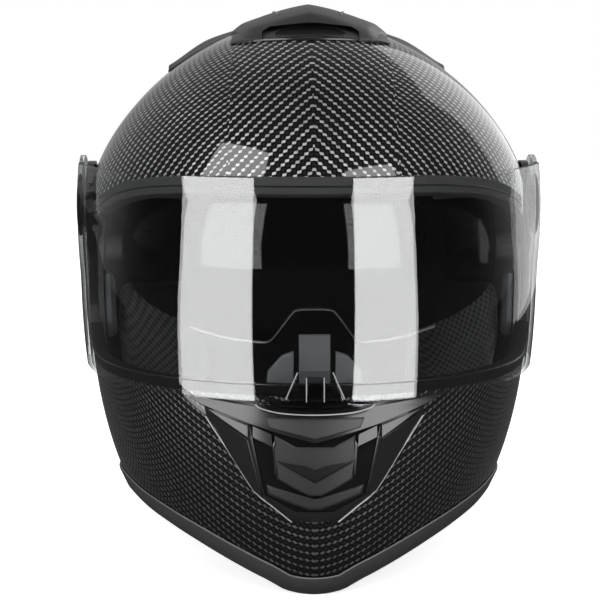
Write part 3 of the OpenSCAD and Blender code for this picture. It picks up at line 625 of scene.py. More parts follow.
@dataclass(frozen=True)
class WeaveCharts:
    """How the cloth lies: a middle panel, and a panel round each pivot.

    Angles are those of the twill line, in degrees below straight out. The seam is
    given in degrees of side, the tow's width and the sag in metres. With a sag, one
    panel hangs over the whole skin and is mirrored about the middle.
    """

    middle_turn: float = 45.0
    side_turn: float = 75.0
    seam_side: float = 20.7
    tow: float = 2.15 * MM
    squeeze: float = 0.69
    sag: float = 0.0

    def lay(
        self, bm: bmesh.types.BMesh, faces: list, spots: dict, face: Surface, rows: int, cols: int
    ) -> None:
        """Writes the weave's coordinates, in tow widths, on the new faces.

        Args:
            bm: The mesh.
            faces: Its new faces.
            spots: Angle and side of each vertex.
            face: The surface.
            rows: Faces round the pivot axis.
            cols: Faces across.
        """
        layer = bm.loops.layers.uv["weave"]
        half = cols // 2
        out, down = self.measure(face, rows, half)
        for f in faces:
            middle = sum(abs(spots[v][1]) for v in f.verts) / len(f.verts) < self.seam_side
            for loop in f.loops:
                angle, side = spots[loop.vert]
                runs, depth = out[round(angle, 3)], down[round(angle, 3)]
                run = runs[round(abs(side) / 90 * half)]
                if self.sag:
                    u, v, turn = *self.hang(run, depth), 0.0
                elif middle:
                    u, v, turn = run, depth, self.middle_turn
                else:
                    d, a = runs[-1] - run, math.radians(angle)
                    u, v, turn = -d * math.cos(a), d * math.sin(a), self.side_turn
                t = math.radians(turn)
                u, v = u * math.cos(t) - v * math.sin(t), u * math.sin(t) + v * math.cos(t)
                u, v = u / self.tow, v / self.tow / self.squeeze
                loop[layer].uv = ((u - v) * math.sqrt(0.5), (u + v) * math.sqrt(0.5))

    def hang(self, run: float, depth: float) -> Point:
        """Gives the place on a cloth that hangs from the middle, from the skin's own lengths."""
        t = math.radians(self.middle_turn)
        return run / math.cos(t), (depth + math.hypot(run, self.sag) * math.tan(t)) * math.cos(t)

    @staticmethod
    def measure(
        face: Surface, rows: int, half: int
    ) -> tuple[dict[float, list[float]], dict[float, float]]:
        """Measures a skin's lengths along its own lines.

        Args:
            face: The surface.
            rows: Faces round the pivot axis.
            half: Faces from the middle plane to one pivot.

        Returns:
            By angle, the lengths from the middle plane outwards, and the length
            along the middle plane.
        """
        out: dict[float, list[float]] = {}
        down: dict[float, float] = {}
        length, last = 0.0, None
        for i in range(rows + 1):
            angle = i * 360 / rows
            line = [face(angle, j * 90 / half) for j in range(half + 1)]
            runs = [0.0]
            for a, b in zip(line, line[1:]):
                runs.append(runs[-1] + (b - a).length)
            out[round(angle, 3)] = runs
            length += (line[0] - last).length if last else 0.0
            down[round(angle, 3)] = length
            last = line[0]
        return out, down


def flowing(points: Sequence[Point], steps: int = 6) -> list[Point]:
    """Draws a smooth curve through points.

    Args:
        points: The points.
        steps: Points for each stretch.

    Returns:
        The curve's points.
    """
    made: list[Point] = []
    n = len(points) - 1
    for i in range(n):
        a, b = points[max(0, i - 1)], points[i]
        c, d = points[i + 1], points[min(n, i + 2)]
        for k in range(steps):
            t = k / steps
            made.append(tuple(
                0.5 * (
                    2 * b[j] + (c[j] - a[j]) * t
                    + (2 * a[j] - 5 * b[j] + 4 * c[j] - d[j]) * t * t
                    + (3 * b[j] - a[j] - 3 * c[j] + d[j]) * t**3
                ) for j in range(2)
            ))
    return made + [tuple(points[n])]


def rounded(points: Sequence[Point], radius: float) -> list[Point]:
    """Rounds the corners of a closed outline.

    Args:
        points: Its corners.
        radius: The corner radius.

    Returns:
        The rounded outline.
    """
    made: list[Point] = []
    n, steps = len(points), 6
    for i in range(n):
        p = Vector(points[i])
        a, b = Vector(points[i - 1]) - p, Vector(points[(i + 1) % n]) - p
        half = a.angle(b) / 2
        cut = min(radius / math.tan(half), a.length * 0.45, b.length * 0.45)
        start, end = p + a.normalized() * cut, p + b.normalized() * cut
        for k in range(steps + 1):
            t = k / steps
            q = start * (1 - t) ** 2 + p * 2 * t * (1 - t) + end * t * t
            made.append((q.x, q.y))
    return made


def shifted(points: Sequence[Point], dx: float, dy: float) -> list[Point]:
    """Moves an outline."""
    return [(p[0] + dx, p[1] + dy) for p in points]


def whole(half: Sequence[Point]) -> list[Point]:
    """Gives both halves of an outline, from its right half listed top to bottom."""
    return [(-p[0], p[1]) for p in half if p[0] > 0] + list(reversed(half))


def on_side(points: Sequence[Point], side: int) -> list[Point]:
    """Puts places across and in rise on the left side, 1, or the right side, -1."""
    return [(x * side, z) for x, z in points]


# ------------------------------------------------------------------ finishes
@dataclass(frozen=True)
class WovenCarbon:
    """Black cloth of flat tows under a thick clear lacquer, with a painted highlight on the warp
    floats and painted shade on the weft floats.
    """

    name: str = "woven_carbon"
    ground: tuple = (0.0035, 0.0035, 0.0038)
    # lit is a painted highlight on the warp floats; shaded is painted shade on the weft floats.
    lit: tuple = (0.45, 0.455, 0.46)
    shaded: tuple = (0.010, 0.010, 0.011)
    roughness: float = 0.42
    reach: float = 0.68
    lacquer: float = 1.45

    def material(self) -> bpy.types.Material:
        """Makes the material."""
        sheet = ShaderSheet(self.name)
        px, py, _ = sheet.parts(sheet.uv("weave"))
        warp = self.float_form((px.floor() - py + 1.0).within(4.0) - 1.0, px.fraction() - 0.5)
        weft = self.float_form((py.floor() - px).within(4.0) - 1.0, py.fraction() - 0.5)
        uneven = sheet.noise(260.0, 2.0).ramp(0.25, 0.7) * 0.45 + 0.6
        cloudy = sheet.noise(22.0, 2.0).ramp(0.3, 0.7) * 0.25 + 0.8
        # Painted shade on the weft floats, then a painted highlight on the warp floats, varied at
        # random.
        colour = sheet.blend(weft, self.ground, self.shaded)
        colour = sheet.blend(warp * uneven * cloudy, colour, self.lit)
        normal = sheet.bump(warp + weft * 0.8, 0.35, 0.0003)
        return sheet.finish(
            Base_Color=colour, Roughness=self.roughness, Metallic=warp * 0.5, Coat_Weight=1.0,
            Coat_Roughness=0.03, Coat_IOR=self.lacquer, Specular_IOR_Level=0.02, Normal=normal,
        )

    def float_form(self, along: Value, across: Value) -> Value:
        """Gives the patch of painted light on each float: painted highlight on the warp, painted
        shade on the weft.

        Args:
            along: Place along the float, -1 to 1 on it.
            across: Place across it, -0.5 to 0.5.

        Returns:
            1 in the middle of the patch, 0 off it.
        """
        ends = 1.0 - abs(along).ramp(self.reach * 0.55, self.reach)
        sides = 1.0 - abs(across).ramp(0.31, 0.49)
        return ends * sides


@dataclass(frozen=True)
class Moulded:
    """A moulded plastic or rubber."""

    name: str
    colour: tuple
    roughness: float
    grain: float = 0.15
    pitch: float = 1500.0
    coat: float = 0.0
    shine: float = 0.3

    def material(self) -> bpy.types.Material:
        """Makes the material."""
        sheet = ShaderSheet(self.name)
        fine = sheet.noise(self.pitch, 2.0)
        wide = sheet.noise(30.0, 3.0)
        pale = tuple(min(1.0, c * 1.25 + 0.002) for c in self.colour)
        colour = sheet.blend(wide.ramp(0.35, 0.75), self.colour, pale)
        rough = fine * 0.12 + wide * 0.1 + (self.roughness - 0.11)
        return sheet.finish(
            Base_Color=colour, Roughness=rough, Coat_Weight=self.coat, Coat_Roughness=0.06,
            Specular_IOR_Level=self.shine, Normal=sheet.bump(fine, self.grain, 0.0001),
        )


@dataclass(frozen=True)
class Metal:
    """A turned, pressed or plated metal."""

    name: str
    colour: tuple
    roughness: float
    brushed: float = 0.2

    def material(self) -> bpy.types.Material:
        """Makes the material."""
        sheet = ShaderSheet(self.name)
        lines = sheet.noise(700.0, 2.0, (0.15, 1, 1))
        wear = sheet.noise(60.0, 3.0).ramp(0.4, 0.75)
        dull = tuple(c * 0.8 for c in self.colour)
        return sheet.finish(
            Base_Color=sheet.blend(wear, self.colour, dull), Metallic=1.0,
            Roughness=lines * self.brushed + wear * 0.06 + (self.roughness - self.brushed / 2),
            Normal=sheet.bump(lines, 0.08, 0.0001),
        )


@dataclass(frozen=True)
class Pane:
    """A clear or smoked visor: what it lets through, and what it mirrors."""

    name: str
    tint: tuple
    mirror: float = 0.052
    glance: float = 0.3
    depth: tuple = (0.12, 0.125, 0.13)

    def material(self) -> bpy.types.Material:
        """Makes the material."""
        sheet = ShaderSheet(self.name)
        facing = sheet.node("ShaderNodeLayerWeight", {}, {"Blend": 0.5}, "Facing")
        share = facing.maths("POWER", 4.0) * self.glance + self.mirror
        clear = sheet.node("ShaderNodeBsdfTransparent", {}, {"Color": (*self.tint, 1.0)})
        deep = sheet.node("ShaderNodeBsdfTransparent", {}, {"Color": (*self.depth, 1.0)})
        through = sheet.node("ShaderNodeMixShader", {}, [facing.ramp(0.74, 0.97), clear, deep])
        mirror = sheet.node(
            "ShaderNodeBsdfPrincipled", {},
            {"Base Color": WHITE, "Metallic": 1.0, "Roughness": 0.012},
        )
        return sheet.shown(sheet.node("ShaderNodeMixShader", {}, [share, through, mirror]))


@dataclass(frozen=True)
class Cloth:
    """A knitted or woven textile, drawn on Object coordinates."""

    name: str
    colour: tuple
    thread: tuple
    pitch: float
    holes: float = 0.0
    sheen: float = 0.3

    def material(self) -> bpy.types.Material:
        """Makes the material."""
        sheet = ShaderSheet(self.name)
        x, y, z = sheet.parts(sheet.place())
        turns = 2 * math.pi / self.pitch
        wales = ((x * 1.05 + y * 0.45 + z * 0.3) * turns).sine()
        courses = ((z * 0.95 - y * 0.3 - abs(x) * 0.35) * turns).sine()
        knit = (wales * courses) * 0.5 + 0.5
        fuzz = sheet.noise(900.0, 3.0)
        colour = sheet.blend(knit * 0.7 + fuzz * 0.3, self.colour, self.thread)
        if self.holes:
            colour = sheet.blend(knit.ramp(0.0, self.holes), (0.003, 0.003, 0.003), colour)
        return sheet.finish(
            Base_Color=colour, Roughness=fuzz * 0.15 + 0.8, Sheen_Weight=self.sheen,
            Specular_IOR_Level=0.2, Sheen_Roughness=0.5,
            Normal=sheet.bump(knit + fuzz * 0.5, 0.5, 0.0004),
        )


@dataclass(frozen=True)
class Webbing:
    """A flat strap, woven across and along its own UV map."""

    name: str = "strap_webbing"
    colour: tuple = (0.012, 0.012, 0.013)
    thread: tuple = (0.045, 0.045, 0.047)
    rib: float = 2.2 * MM
    pick: float = 1.5 * MM

    def material(self) -> bpy.types.Material:
        """Makes the material."""
        sheet = ShaderSheet(self.name)
        u, v, _ = sheet.parts(sheet.uv("run"))
        ribs = (u * (2 * math.pi / self.rib)).sine() * 0.5 + 0.5
        picks = (v * (2 * math.pi / self.pick) + u * 900.0).sine() * 0.5 + 0.5
        weave = ribs * 0.6 + picks * 0.4
        return sheet.finish(
            Base_Color=sheet.blend(weave, self.colour, self.thread),
            Roughness=0.72, Sheen_Weight=0.25, Normal=sheet.bump(weave, 0.7, 0.0003),
        )


class Finish(Enum):
    """The finishes on the helmet, and the record's slot that each belongs to."""

    CARBON = (WovenCarbon(), "carbon")
    # A copy of the carbon for the chin bar whose painted float highlight is dimmer: painted shade
    # on the chin.
    CHIN_CARBON_SHADED = (
        WovenCarbon("woven_carbon_chin_shaded", lit=(0.125, 0.127, 0.13), reach=0.62), "carbon"
    )
    RUBBER = (
        Moulded("black_rubber", (0.0065, 0.0065, 0.0067), 0.5, 0.3, 900.0, shine=0.13),
        "black_rubber",
    )
    SEAL = (
        Moulded("seal_rubber", (0.0035, 0.0035, 0.0036), 0.55, 0.3, 900.0, shine=0.05),
        "black_rubber",
    )
    SATIN = (Moulded("satin_black", (0.009, 0.009, 0.0095), 0.36, 0.25, 1800.0), "satin_black")
    GLOSS = (
        Moulded("gloss_black", (0.006, 0.006, 0.0065), 0.2, 0.12, 900.0, coat=0.6), "gloss_black"
    )
    # Used only on the chin's edge bead, whose grey is a painted highlight line.
    GREY_HIGHLIGHT = (Moulded("grey_plastic", (0.15, 0.154, 0.16), 0.42, 0.3), "grey_plastic")
    # Pale rods that paint highlight lines along edges.
    PALE_HIGHLIGHT = (Moulded("pale_painted_highlight", (0.40, 0.405, 0.41), 0.35, 0.1), "grey_plastic")
    SLATE = (Moulded("dark_grey_plastic", (0.075, 0.078, 0.082), 0.5, 0.3), "grey_plastic")
    RED = (Moulded("red_plastic", (0.42, 0.018, 0.014), 0.4, 0.2, 1400.0), "red_plastic")
    FOAM = (Moulded("liner_foam", (0.018, 0.018, 0.019), 0.85, 0.6, 260.0), "foam")
    LINING = (
        Cloth("brushed_lining", (0.012, 0.012, 0.013), (0.035, 0.035, 0.037), 1.6 * MM), "padding"
    )
    MESH = (
        Cloth("spacer_mesh", (0.002, 0.002, 0.0021), (0.075, 0.076, 0.078), 3.6 * MM, holes=0.45),
        "mesh_fabric",
    )
    WEBBING = (Webbing(), "webbing")
    STEEL = (Metal("brushed_steel", (0.52, 0.53, 0.54), 0.34, 0.25), "steel")
    CHROME = (Metal("bright_plating", (0.86, 0.87, 0.88), 0.08, 0.06), "chrome")
    CLEAR = (Pane("clear_visor", (0.965, 0.972, 0.975)), "clear")
    SMOKE = (Pane("smoked_visor", (0.36, 0.355, 0.345), mirror=0.02, glance=0.05), "smoke")
    # A real polished edge; its grey is partly a painted highlight line.
    EDGE = (Moulded("polished_edge_painted_highlight", (0.15, 0.15, 0.148), 0.2, 0.05, 900.0, coat=0.6), "smoke")
    LENS = (Pane("clear_moulding", (0.42, 0.43, 0.45), mirror=0.06), "clear")
    TAB = (Pane("clear_tab", (0.84, 0.85, 0.86), mirror=0.03), "clear")
    THREAD = (Moulded("stitching_thread", (0.06, 0.06, 0.062), 0.8, 0.4, 2500.0), "webbing")

    def material(self) -> bpy.types.Material:
        """Gives this finish's material, which is made the first time."""
        maker, _ = self.value
        return bpy.data.materials.get(maker.name) or maker.material()

    def dress(self, piece: bpy.types.Object) -> None:
        """Puts this finish on a new piece."""
        piece.data.materials.clear()
        piece.data.materials.append(self.material())


# ------------------------------------------------------------------ what every sub-assembly does
class Kit:
    """A sub-assembly: makes pieces and puts them on their bodies."""

    nodes: dict = {}

    def add(
        self, piece: bpy.types.Object, body: str, finish: Finish, *nodes: str
    ) -> bpy.types.Object:
        """Dresses a piece and puts it on a body.

        Args:
            piece: The piece.
            body: The CAD body that it moves with.
            finish: Its finish.
            nodes: The CAD nodes that it stands for.

        Returns:
            The piece.
        """
        finish.dress(piece)
        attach(piece, body)
        if nodes:
            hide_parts(*nodes)
        log.info("%s: %d faces on %s", piece.name, len(piece.data.polygons), body)
        return piece

    def keep(self, node: str, finish: Finish) -> None:
        """Gives a CAD node a better material."""
        for slot in self.nodes[node].material_slots:
            slot.material = finish.material()
        log.info("%s keeps its shape", node)

    def refine(self, node: str, name: str, bevel: float) -> bpy.types.Object:
        """Copies a CAD node and breaks its sharp edges.

        Args:
            node: The node.
            name: The new piece's name.
            bevel: Width of the broken edges in millimetres.

        Returns:
            The new piece.
        """
        flat, sharp = 0.8, 25.0
        bm = merged(self.nodes[node].data)
        bmesh.ops.dissolve_limit(
            bm, angle_limit=math.radians(flat), verts=bm.verts, edges=bm.edges
        )
        if bevel:
            break_edges(bm, bevel, sharp)
        return new_piece(name, bm, sharp)


# ------------------------------------------------------------------ outlines in side view
SPLIT = flowing([(-15, -24), (-14, -60), (-6, -100), (6, -130), (24, -166)])
PORT_EDGE = flowing([(214, 18), (124, 18), (99.2, 16.5), (80, 13), (61, 6), (47, -4), (38, -18)])
SILL = [(60.0, -75.0), (47.0, -71.0), (39.5, -64.0), (36.5, -53.0)]
SHELL_EDGE = flowing([
    (-260, -180.8), (-94, -180.8), (-84, -176), (-64, -164), (-40, -155), (0, -149.5), (34, -147.5)
])
CHIN_EDGE = flowing([
    (0, -149.5), (34, -147.5), (56, -146.5), (88, -150.5), (104, -155), (114, -160), (122, -166.5),
    (127, -173), (131.5, -180.8), (160, -180.8)
])
TURN = [math.radians(a) for a in range(0, 360, 45)]
VISOR_AREA = [(FAR, 24.0), (12.4, 24.0)] + [
    (27 * math.cos(math.radians(a)), 27 * math.sin(math.radians(a))) for a in range(64, 224, 8)
] + [(-20.0, -24.0), (-12.0, -56.0), (-4.0, -76.0), (6.0, -81.5), (FAR, -86.4)]


def below(edge: Sequence[Point]) -> list[Point]:
    """Gives the area under an edge that runs forward."""
    return [*edge, (FAR, edge[-1][1]), (FAR, -FAR), (-FAR, -FAR)]


def bead(out: float, up: float, radius: float) -> list[Point]:
    """Gives a round section, from its middle outward and up."""
    return [(out + radius * math.cos(a), up + radius * math.sin(a)) for a in TURN]


def hem(wall: float, lip: Sequence[Point]) -> list[Point]:
    """Gives the section of a rubber band round a wall's lower edge, and its outer lip."""
    return [
        (1.3, -0.6), (0.9, -1.2), (-wall - 1.3, -1.2), (-wall - 1.7, -0.6), (-wall - 1.7, 6.3),
        (-wall - 1.2, 6.9), (-wall - 0.2, 6.6), (-wall - 0.2, 0), (0.2, 0), *lip,
    ]


def chin_outline() -> list[Point]:
    """Gives the chin bar's outline in side view."""
    sill = [(FAR, -77.0), *SILL, (36.5, -24.0), (24.0, -18.0), (0.0, 0.0), (-12.0, -18.0)]
    return sill + shifted(SPLIT, 0.5, 0) + [(24, -FAR), (FAR, -FAR)]


def mirrored(piece: bpy.types.Object) -> bpy.types.Object:
    """Adds a piece's mirror image on the other side of the helmet to it."""
    bm = bmesh.new()
    bm.from_mesh(piece.data)
    made = bmesh.ops.duplicate(bm, geom=bm.faces[:] + bm.edges[:] + bm.verts[:])["geom"]
    faces = [g for g in made if isinstance(g, bmesh.types.BMFace)]
    bmesh.ops.scale(bm, verts=only_verts(made), vec=(-1, 1, 1))
    bmesh.ops.reverse_faces(bm, faces=faces)
    bm.to_mesh(piece.data)
    bm.free()
    return piece


def turned(
    name: str, outline: Sequence[Point], steps: int = 96, sharp: float = SHARP
) -> bpy.types.Object:
    """Turns an outline about the pivot axis.

    Args:
        name: The object's name.
        outline: Radius and place across of its corners, in millimetres.
        steps: Faces round it.
        sharp: As for new_piece.

    Returns:
        The turned piece.
    """
    bm = bmesh.new()
    ring = [bm.verts.new(world(r, 0, x)) for r, x in outline]
    bmesh.ops.spin(
        bm, geom=ring + ring_edges(bm, ring), cent=world(0, 0), axis=(1, 0, 0),
        angle=2 * math.pi, steps=steps, use_merge=True, use_duplicate=False,
    )
    bmesh.ops.remove_doubles(bm, verts=bm.verts, dist=WELD)
    bmesh.ops.recalc_face_normals(bm, faces=bm.faces)
    return new_piece(name, bm, sharp)


@dataclass(frozen=True)
class Rim:
    """A line on the skin, with the skin's own directions at each point."""

    spots: tuple
    outward: tuple

    @staticmethod
    def along(line: Sequence[Point], front: bool = False) -> "Rim":
        """Follows a line in side view over both sides of the helmet.

        Args:
            line: Reach and rise, from the middle plane's end to the side's end.
            front: Whether the line meets the middle plane at the front.

        Returns:
            The rim, from the left side over the middle to the right.
        """
        def rise(reach: float) -> float:
            """Looks a rise up on the line."""
            pts = sorted(line)
            for (a, b), (c, d) in zip(pts, pts[1:]):
                if a <= reach <= c:
                    return b + (d - b) * (reach - a) / max(c - a, 1e-9)
            return pts[0][1] if reach < pts[0][0] else pts[-1][1]

        end, steps, halvings = line[-1][0], 90, 40
        middle, past = end, 200.0 if front else -240.0
        for _ in range(halvings):
            mid = (middle + past) / 2
            inside = SKIN.across(mid, rise(mid), 0.0) > 1e-6
            middle, past = (mid, past) if inside else (middle, mid)
        side = []
        for i in range(steps + 1):
            t = i / steps
            reach = middle + (end - middle) * t * t * (1.6 - 0.6 * t)
            x = 0.0 if i == 0 else SKIN.across(reach, rise(reach), 0.0)
            side.append((x, reach, rise(reach)))
        pts = [(-x, a, b) for x, a, b in reversed(side[1:])] + side
        spots = tuple(world(a, b, x) for x, a, b in pts)
        return Rim(spots, tuple(skin_normal(spot) for spot in spots))

    def sweep(self, name: str, profile: Sequence[Point], sharp: float = 40.0) -> bpy.types.Object:
        """Draws a closed profile along the rim, and closes its ends.

        Args:
            name: The object's name.
            profile: Its corners, outward from the skin and up along it, in millimetres.
            sharp: As for new_piece.

        Returns:
            The swept piece.
        """
        bm = bmesh.new()
        rings = []
        last = len(self.spots) - 1
        for i, (spot, out) in enumerate(zip(self.spots, self.outward)):
            along = (self.spots[min(last, i + 1)] - self.spots[max(0, i - 1)]).normalized()
            out = (out - along * out.dot(along)).normalized()
            up = out.cross(along)
            if up.z < 0:
                up = -up
            rings.append([bm.verts.new(spot + (out * p[0] + up * p[1]) * MM) for p in profile])
        sweep_rings(bm, rings)
        return new_piece(name, bm, sharp)


def sweep_rings(bm: bmesh.types.BMesh, rings: Sequence[list]) -> None:
    """Joins rings of vertices into a tube with flat ends, whose faces point outwards."""
    loops = [ring_edges(bm, ring) for ring in rings]
    for a, b in zip(loops, loops[1:]):
        bmesh.ops.bridge_loops(bm, edges=a + b)
    for ring in (rings[0], rings[-1]):
        bm.faces.new(ring)
    bmesh.ops.recalc_face_normals(bm, faces=bm.faces)


def skin_level(spot: Vector, off: float = 0.0, held: bool = False, flat: float = 0.0) -> float:
    """Tells how far out a place is: 1 on the skin, more outside it."""
    d = spot - PIVOT
    rho = math.hypot(d.y, d.z)
    angle = math.degrees(math.atan2(d.z, -d.y))
    r, full, square = (SKIN.held_section if held else SKIN.section)(angle)
    wide, x = SKIN.half_w + off * MM, abs(d.x)
    if flat:
        t = smooth((rho / MM - flat) / SKIN.end_blend)
        if t < 0.02:
            return x / wide + rho * 1e-6
        x = (x - wide * (1 - t)) / t
    return (rho / (r + off * MM)) ** full + max(0.0, x / wide) ** square


def skin_normal(
    spot: Vector, off: float = 0.0, held: bool = False, flat: float = 0.0
) -> Vector:
    """Gives the skin's outward direction at a place."""
    h = 2e-5
    slope = []
    for axis in range(3):
        step = Vector([h if k == axis else 0.0 for k in range(3)])
        slope.append(
            skin_level(spot + step, off, held, flat) - skin_level(spot - step, off, held, flat)
        )
    return Vector(slope).normalized()


def true_normals(
    piece: bpy.types.Object, off: float, held: bool = False, flat: float = 0.0, calm: float = 0.0
) -> None:
    """Gives the faces that lie on a skin that skin's own normals.

    Args:
        piece: The piece.
        off: The skin's stand-off in millimetres.
        held: As for Skin.surface.
        flat: As for Skin.surface.
        calm: Height over which the directions are averaged, in millimetres.
    """
    mesh = piece.data
    shares = (-1, -0.5, 0, 0.5, 1) if calm else (0,)
    steps = [Vector((0, 0, calm * MM * share)) for share in shares]
    normals = [Vector(n.vector) for n in mesh.corner_normals]
    known: dict[int, Vector] = {}
    for polygon in mesh.polygons:
        middle = polygon.center
        if abs(skin_level(middle, off, held, flat) - 1) > 0.02:
            continue
        if skin_normal(middle, off, held, flat).dot(polygon.normal) < 0.9:
            continue
        for corner in polygon.loop_indices:
            v = mesh.loops[corner].vertex_index
            if v not in known:
                spot = mesh.vertices[v].co
                known[v] = sum(
                    (skin_normal(spot + step, off, held, flat) for step in steps), Vector()
                ).normalized()
            if known[v].length > 0.5:
                normals[corner] = known[v]
    mesh.normals_split_custom_set(normals)


# ------------------------------------------------------------------ sub-assemblies
@dataclass
class Shell(Kit):
    """The fixed shell: its woven wall, the step behind the chin bar, and its rubber edges."""

    wall: float = 4.6
    step_top: float = -4.3
    step_wall: float = 3.0
    pocket_r: float = 24.3
    pocket_foot: float = 113.4

    def build(self) -> None:
        """Builds the shell."""
        self.carbon()
        self.step()
        self.rubbers()

    def carbon(self) -> None:
        """Makes the outer wall."""
        piece = skin_wall(
            "shell_wall", SKIN.surface(0), SKIN.surface(-self.wall), 180, 96, WeaveCharts()
        )
        front = PORT_EDGE + [(24, -20), (-15, -20)] + SPLIT + [(24, -FAR), (FAR, -FAR)]
        carve(piece, side_prism(front), Cut.OFF)
        carve(piece, side_prism(below(SHELL_EDGE)), Cut.OFF)
        carve(piece, mirrored(rod(self.pocket_r, self.pocket_foot)), Cut.OFF)
        clearance = turned("tool", [(23.3, 114.3), (54, 111), (54, FAR), (23.3, FAR)])
        wedge = side_prism([(0, 0), (28, -60), (80, -50), (80, 80), (-14, 80)], 0)
        carve(clearance, wedge, Cut.KEEP)
        carve(piece, mirrored(clearance), Cut.OFF)
        true_normals(piece, 0)
        self.add(piece, "shell", Finish.CARBON, "outer_shell")

    def step(self) -> None:
        """Makes the sunk step that the chin bar's edge closes over."""
        outer, inner = SKIN.surface(self.step_top), SKIN.surface(self.step_top - self.step_wall)
        piece = skin_wall("shell_step", outer, inner, 120, 72)
        area = [(30.5, 28), (35.5, 4), (36.5, -20), (36.5, -FAR), (20, -FAR)]
        area += list(reversed(shifted(SPLIT, -14, 0))) + [(-29, 28)]
        carve(piece, side_prism(area), Cut.KEEP)
        carve(piece, side_prism(below(shifted(SHELL_EDGE, 0, 11.5))), Cut.OFF)
        carve(piece, rod(PIN_R), Cut.OFF)
        true_normals(piece, self.step_top)
        self.add(piece, "shell", Finish.SATIN)

    def rubbers(self) -> None:
        """Makes the rubber bands on the lower edge and the brow."""
        edge = [p for p in SHELL_EDGE if p[0] < 8] + [(9.5, -149)]
        band = hem(self.wall, [(0.2, 6.9), (0.9, 7.3), (1.3, 6.7)])
        piece = Rim.along(edge).sweep("shell_edge_rubber", band)
        self.add(piece, "shell", Finish.RUBBER, "shell_trim")
        w = self.wall
        channel = [
            (1.2, -1.9), (0.6, -2.5), (-w - 1.1, -2.5), (-w - 1.7, -1.9), (-w - 1.7, 5.9),
            (-w - 1.1, 6.5), (-w - 0.2, 6.2), (-w - 0.2, 0), (0.2, 0), (0.2, 6.1), (0.7, 6.5),
            (1.3, 5.9),
        ]
        rim = Rim.along([p for p in PORT_EDGE if p[0] > 54.5], front=True)
        self.add(rim.sweep("brow_rubber", channel), "shell", Finish.RUBBER, "brow_gasket")
        self.add(rim.sweep("brow_bead", bead(1.2, 1.4, 0.5)), "shell", Finish.GLOSS)


@dataclass
class ChinBar(Kit):
    """The chin bar that flips up: its woven wall, rubber edges and seal."""

    wall: float = 4.0
    arm_r: float = 24.0

    def build(self) -> None:
        """Builds the chin bar."""
        weave = WeaveCharts(middle_turn=-12.0, tow=2.2 * MM, squeeze=0.65, sag=12 * MM)
        outer = SKIN.surface(0, flat=self.arm_r)
        inner = SKIN.surface(-self.wall, flat=self.arm_r)
        piece = skin_wall("chin_wall", outer, inner, 180, 96, weave)
        tool = side_prism(chin_outline())
        carve(tool, mirrored(rod(self.arm_r, 60)), Cut.JOIN)
        carve(piece, tool, Cut.KEEP)
        carve(piece, side_prism(below(CHIN_EDGE)), Cut.OFF)
        carve(piece, rod(PIN_R), Cut.OFF)
        true_normals(piece, 0, flat=self.arm_r)
        self.add(piece, "chin", Finish.CHIN_CARBON_SHADED, "chin_bar")
        self.rubbers()

    def rubbers(self) -> None:
        """Makes the rubber band on the lower edge and the seal under the visor."""
        edge = sorted([p for p in CHIN_EDGE if p[0] > 17] + [(16.5, -148.6)], reverse=True)
        band = hem(self.wall, [(0.2, 8.9), (0.9, 9.3), (1.3, 8.7)])
        rim = Rim.along(edge, front=True)
        self.add(rim.sweep("chin_edge_rubber", band), "chin", Finish.RUBBER, "chin_trim")
        # A thin grey bead that paints the highlight along the carbon's lower edge.
        self.add(rim.sweep("chin_edge_highlight_bead", bead(0.3, 9.5, 0.42)), "chin", Finish.GREY_HIGHLIGHT)
        w = self.wall
        lip = [
            (1.0, 1.2), (0.4, 1.9), (-w - 1.0, 1.9), (-w - 1.6, 1.2), (-w - 1.6, -3.4),
            (-w - 1.0, -4.0), (-w - 0.2, -3.7), (-w - 0.2, 0), (0.2, 0), (0.2, -3.6),
            (0.6, -4.0), (1.0, -3.5),
        ]
        sill = [(200.0, -77.0), (110.0, -76.6)] + SILL[:2] + [(41.5, -66.5), (37.9, -60.0)]
        rim = Rim.along(flowing(sill), front=True)
        self.add(rim.sweep("sill_rubber", lip), "chin", Finish.SEAL, "sill_seal")
        self.add(rim.sweep("sill_bead", bead(1.0, 1.3, 0.55)), "chin", Finish.GLOSS)


@dataclass
class Visor(Kit):
    """The clear outer visor's pane."""

    gap: float = 1.6
    thick: float = 2.4
    ear_r: float = 27.0
    hub_r: float = 12.0

    def build(self) -> None:
        """Builds the visor."""
        top = self.gap + self.thick
        outer = SKIN.surface(top, True, self.ear_r)
        inner = SKIN.surface(self.gap, True, self.ear_r)
        piece = skin_wall("visor_pane", outer, inner, 180, 110)
        carve(piece, side_prism(rounded(VISOR_AREA, 5)), Cut.KEEP)
        carve(piece, rod(self.hub_r + 0.3), Cut.OFF)
        true_normals(piece, top, True, self.ear_r, calm=14)
        self.add(piece, "clear_visor", Finish.CLEAR, "visor")


def inset(points: Sequence[Point], by: float) -> list[Point]:
    """Draws a closed outline inwards by an amount, or outwards by a negative one."""
    area = sum(a[0] * b[1] - a[1] * b[0] for a, b in zip(points, [*points[1:], points[0]]))
    turn = 1 if area > 0 else -1
    made = []
    n = len(points)
    for i in range(n):
        p, a, b = Vector(points[i]), Vector(points[i - 1]), Vector(points[(i + 1) % n])
        e, f = (p - a).normalized(), (b - p).normalized()
        m, k = Vector((-e.y, e.x)) * turn, Vector((-f.y, f.x)) * turn
        q = p + (m + k) * by / max(0.35, 1 + m.dot(k))
        made.append((q.x, q.y))
    return made


def divided(points: Sequence[Point], steps: int = 6) -> list[Point]:
    """Divides each side of a closed outline into equal steps."""
    return [
        (a[0] + (b[0] - a[0]) * k / steps, a[1] + (b[1] - a[1]) * k / steps)
        for a, b in zip(points, [*points[1:], points[0]]) for k in range(steps)
    ]


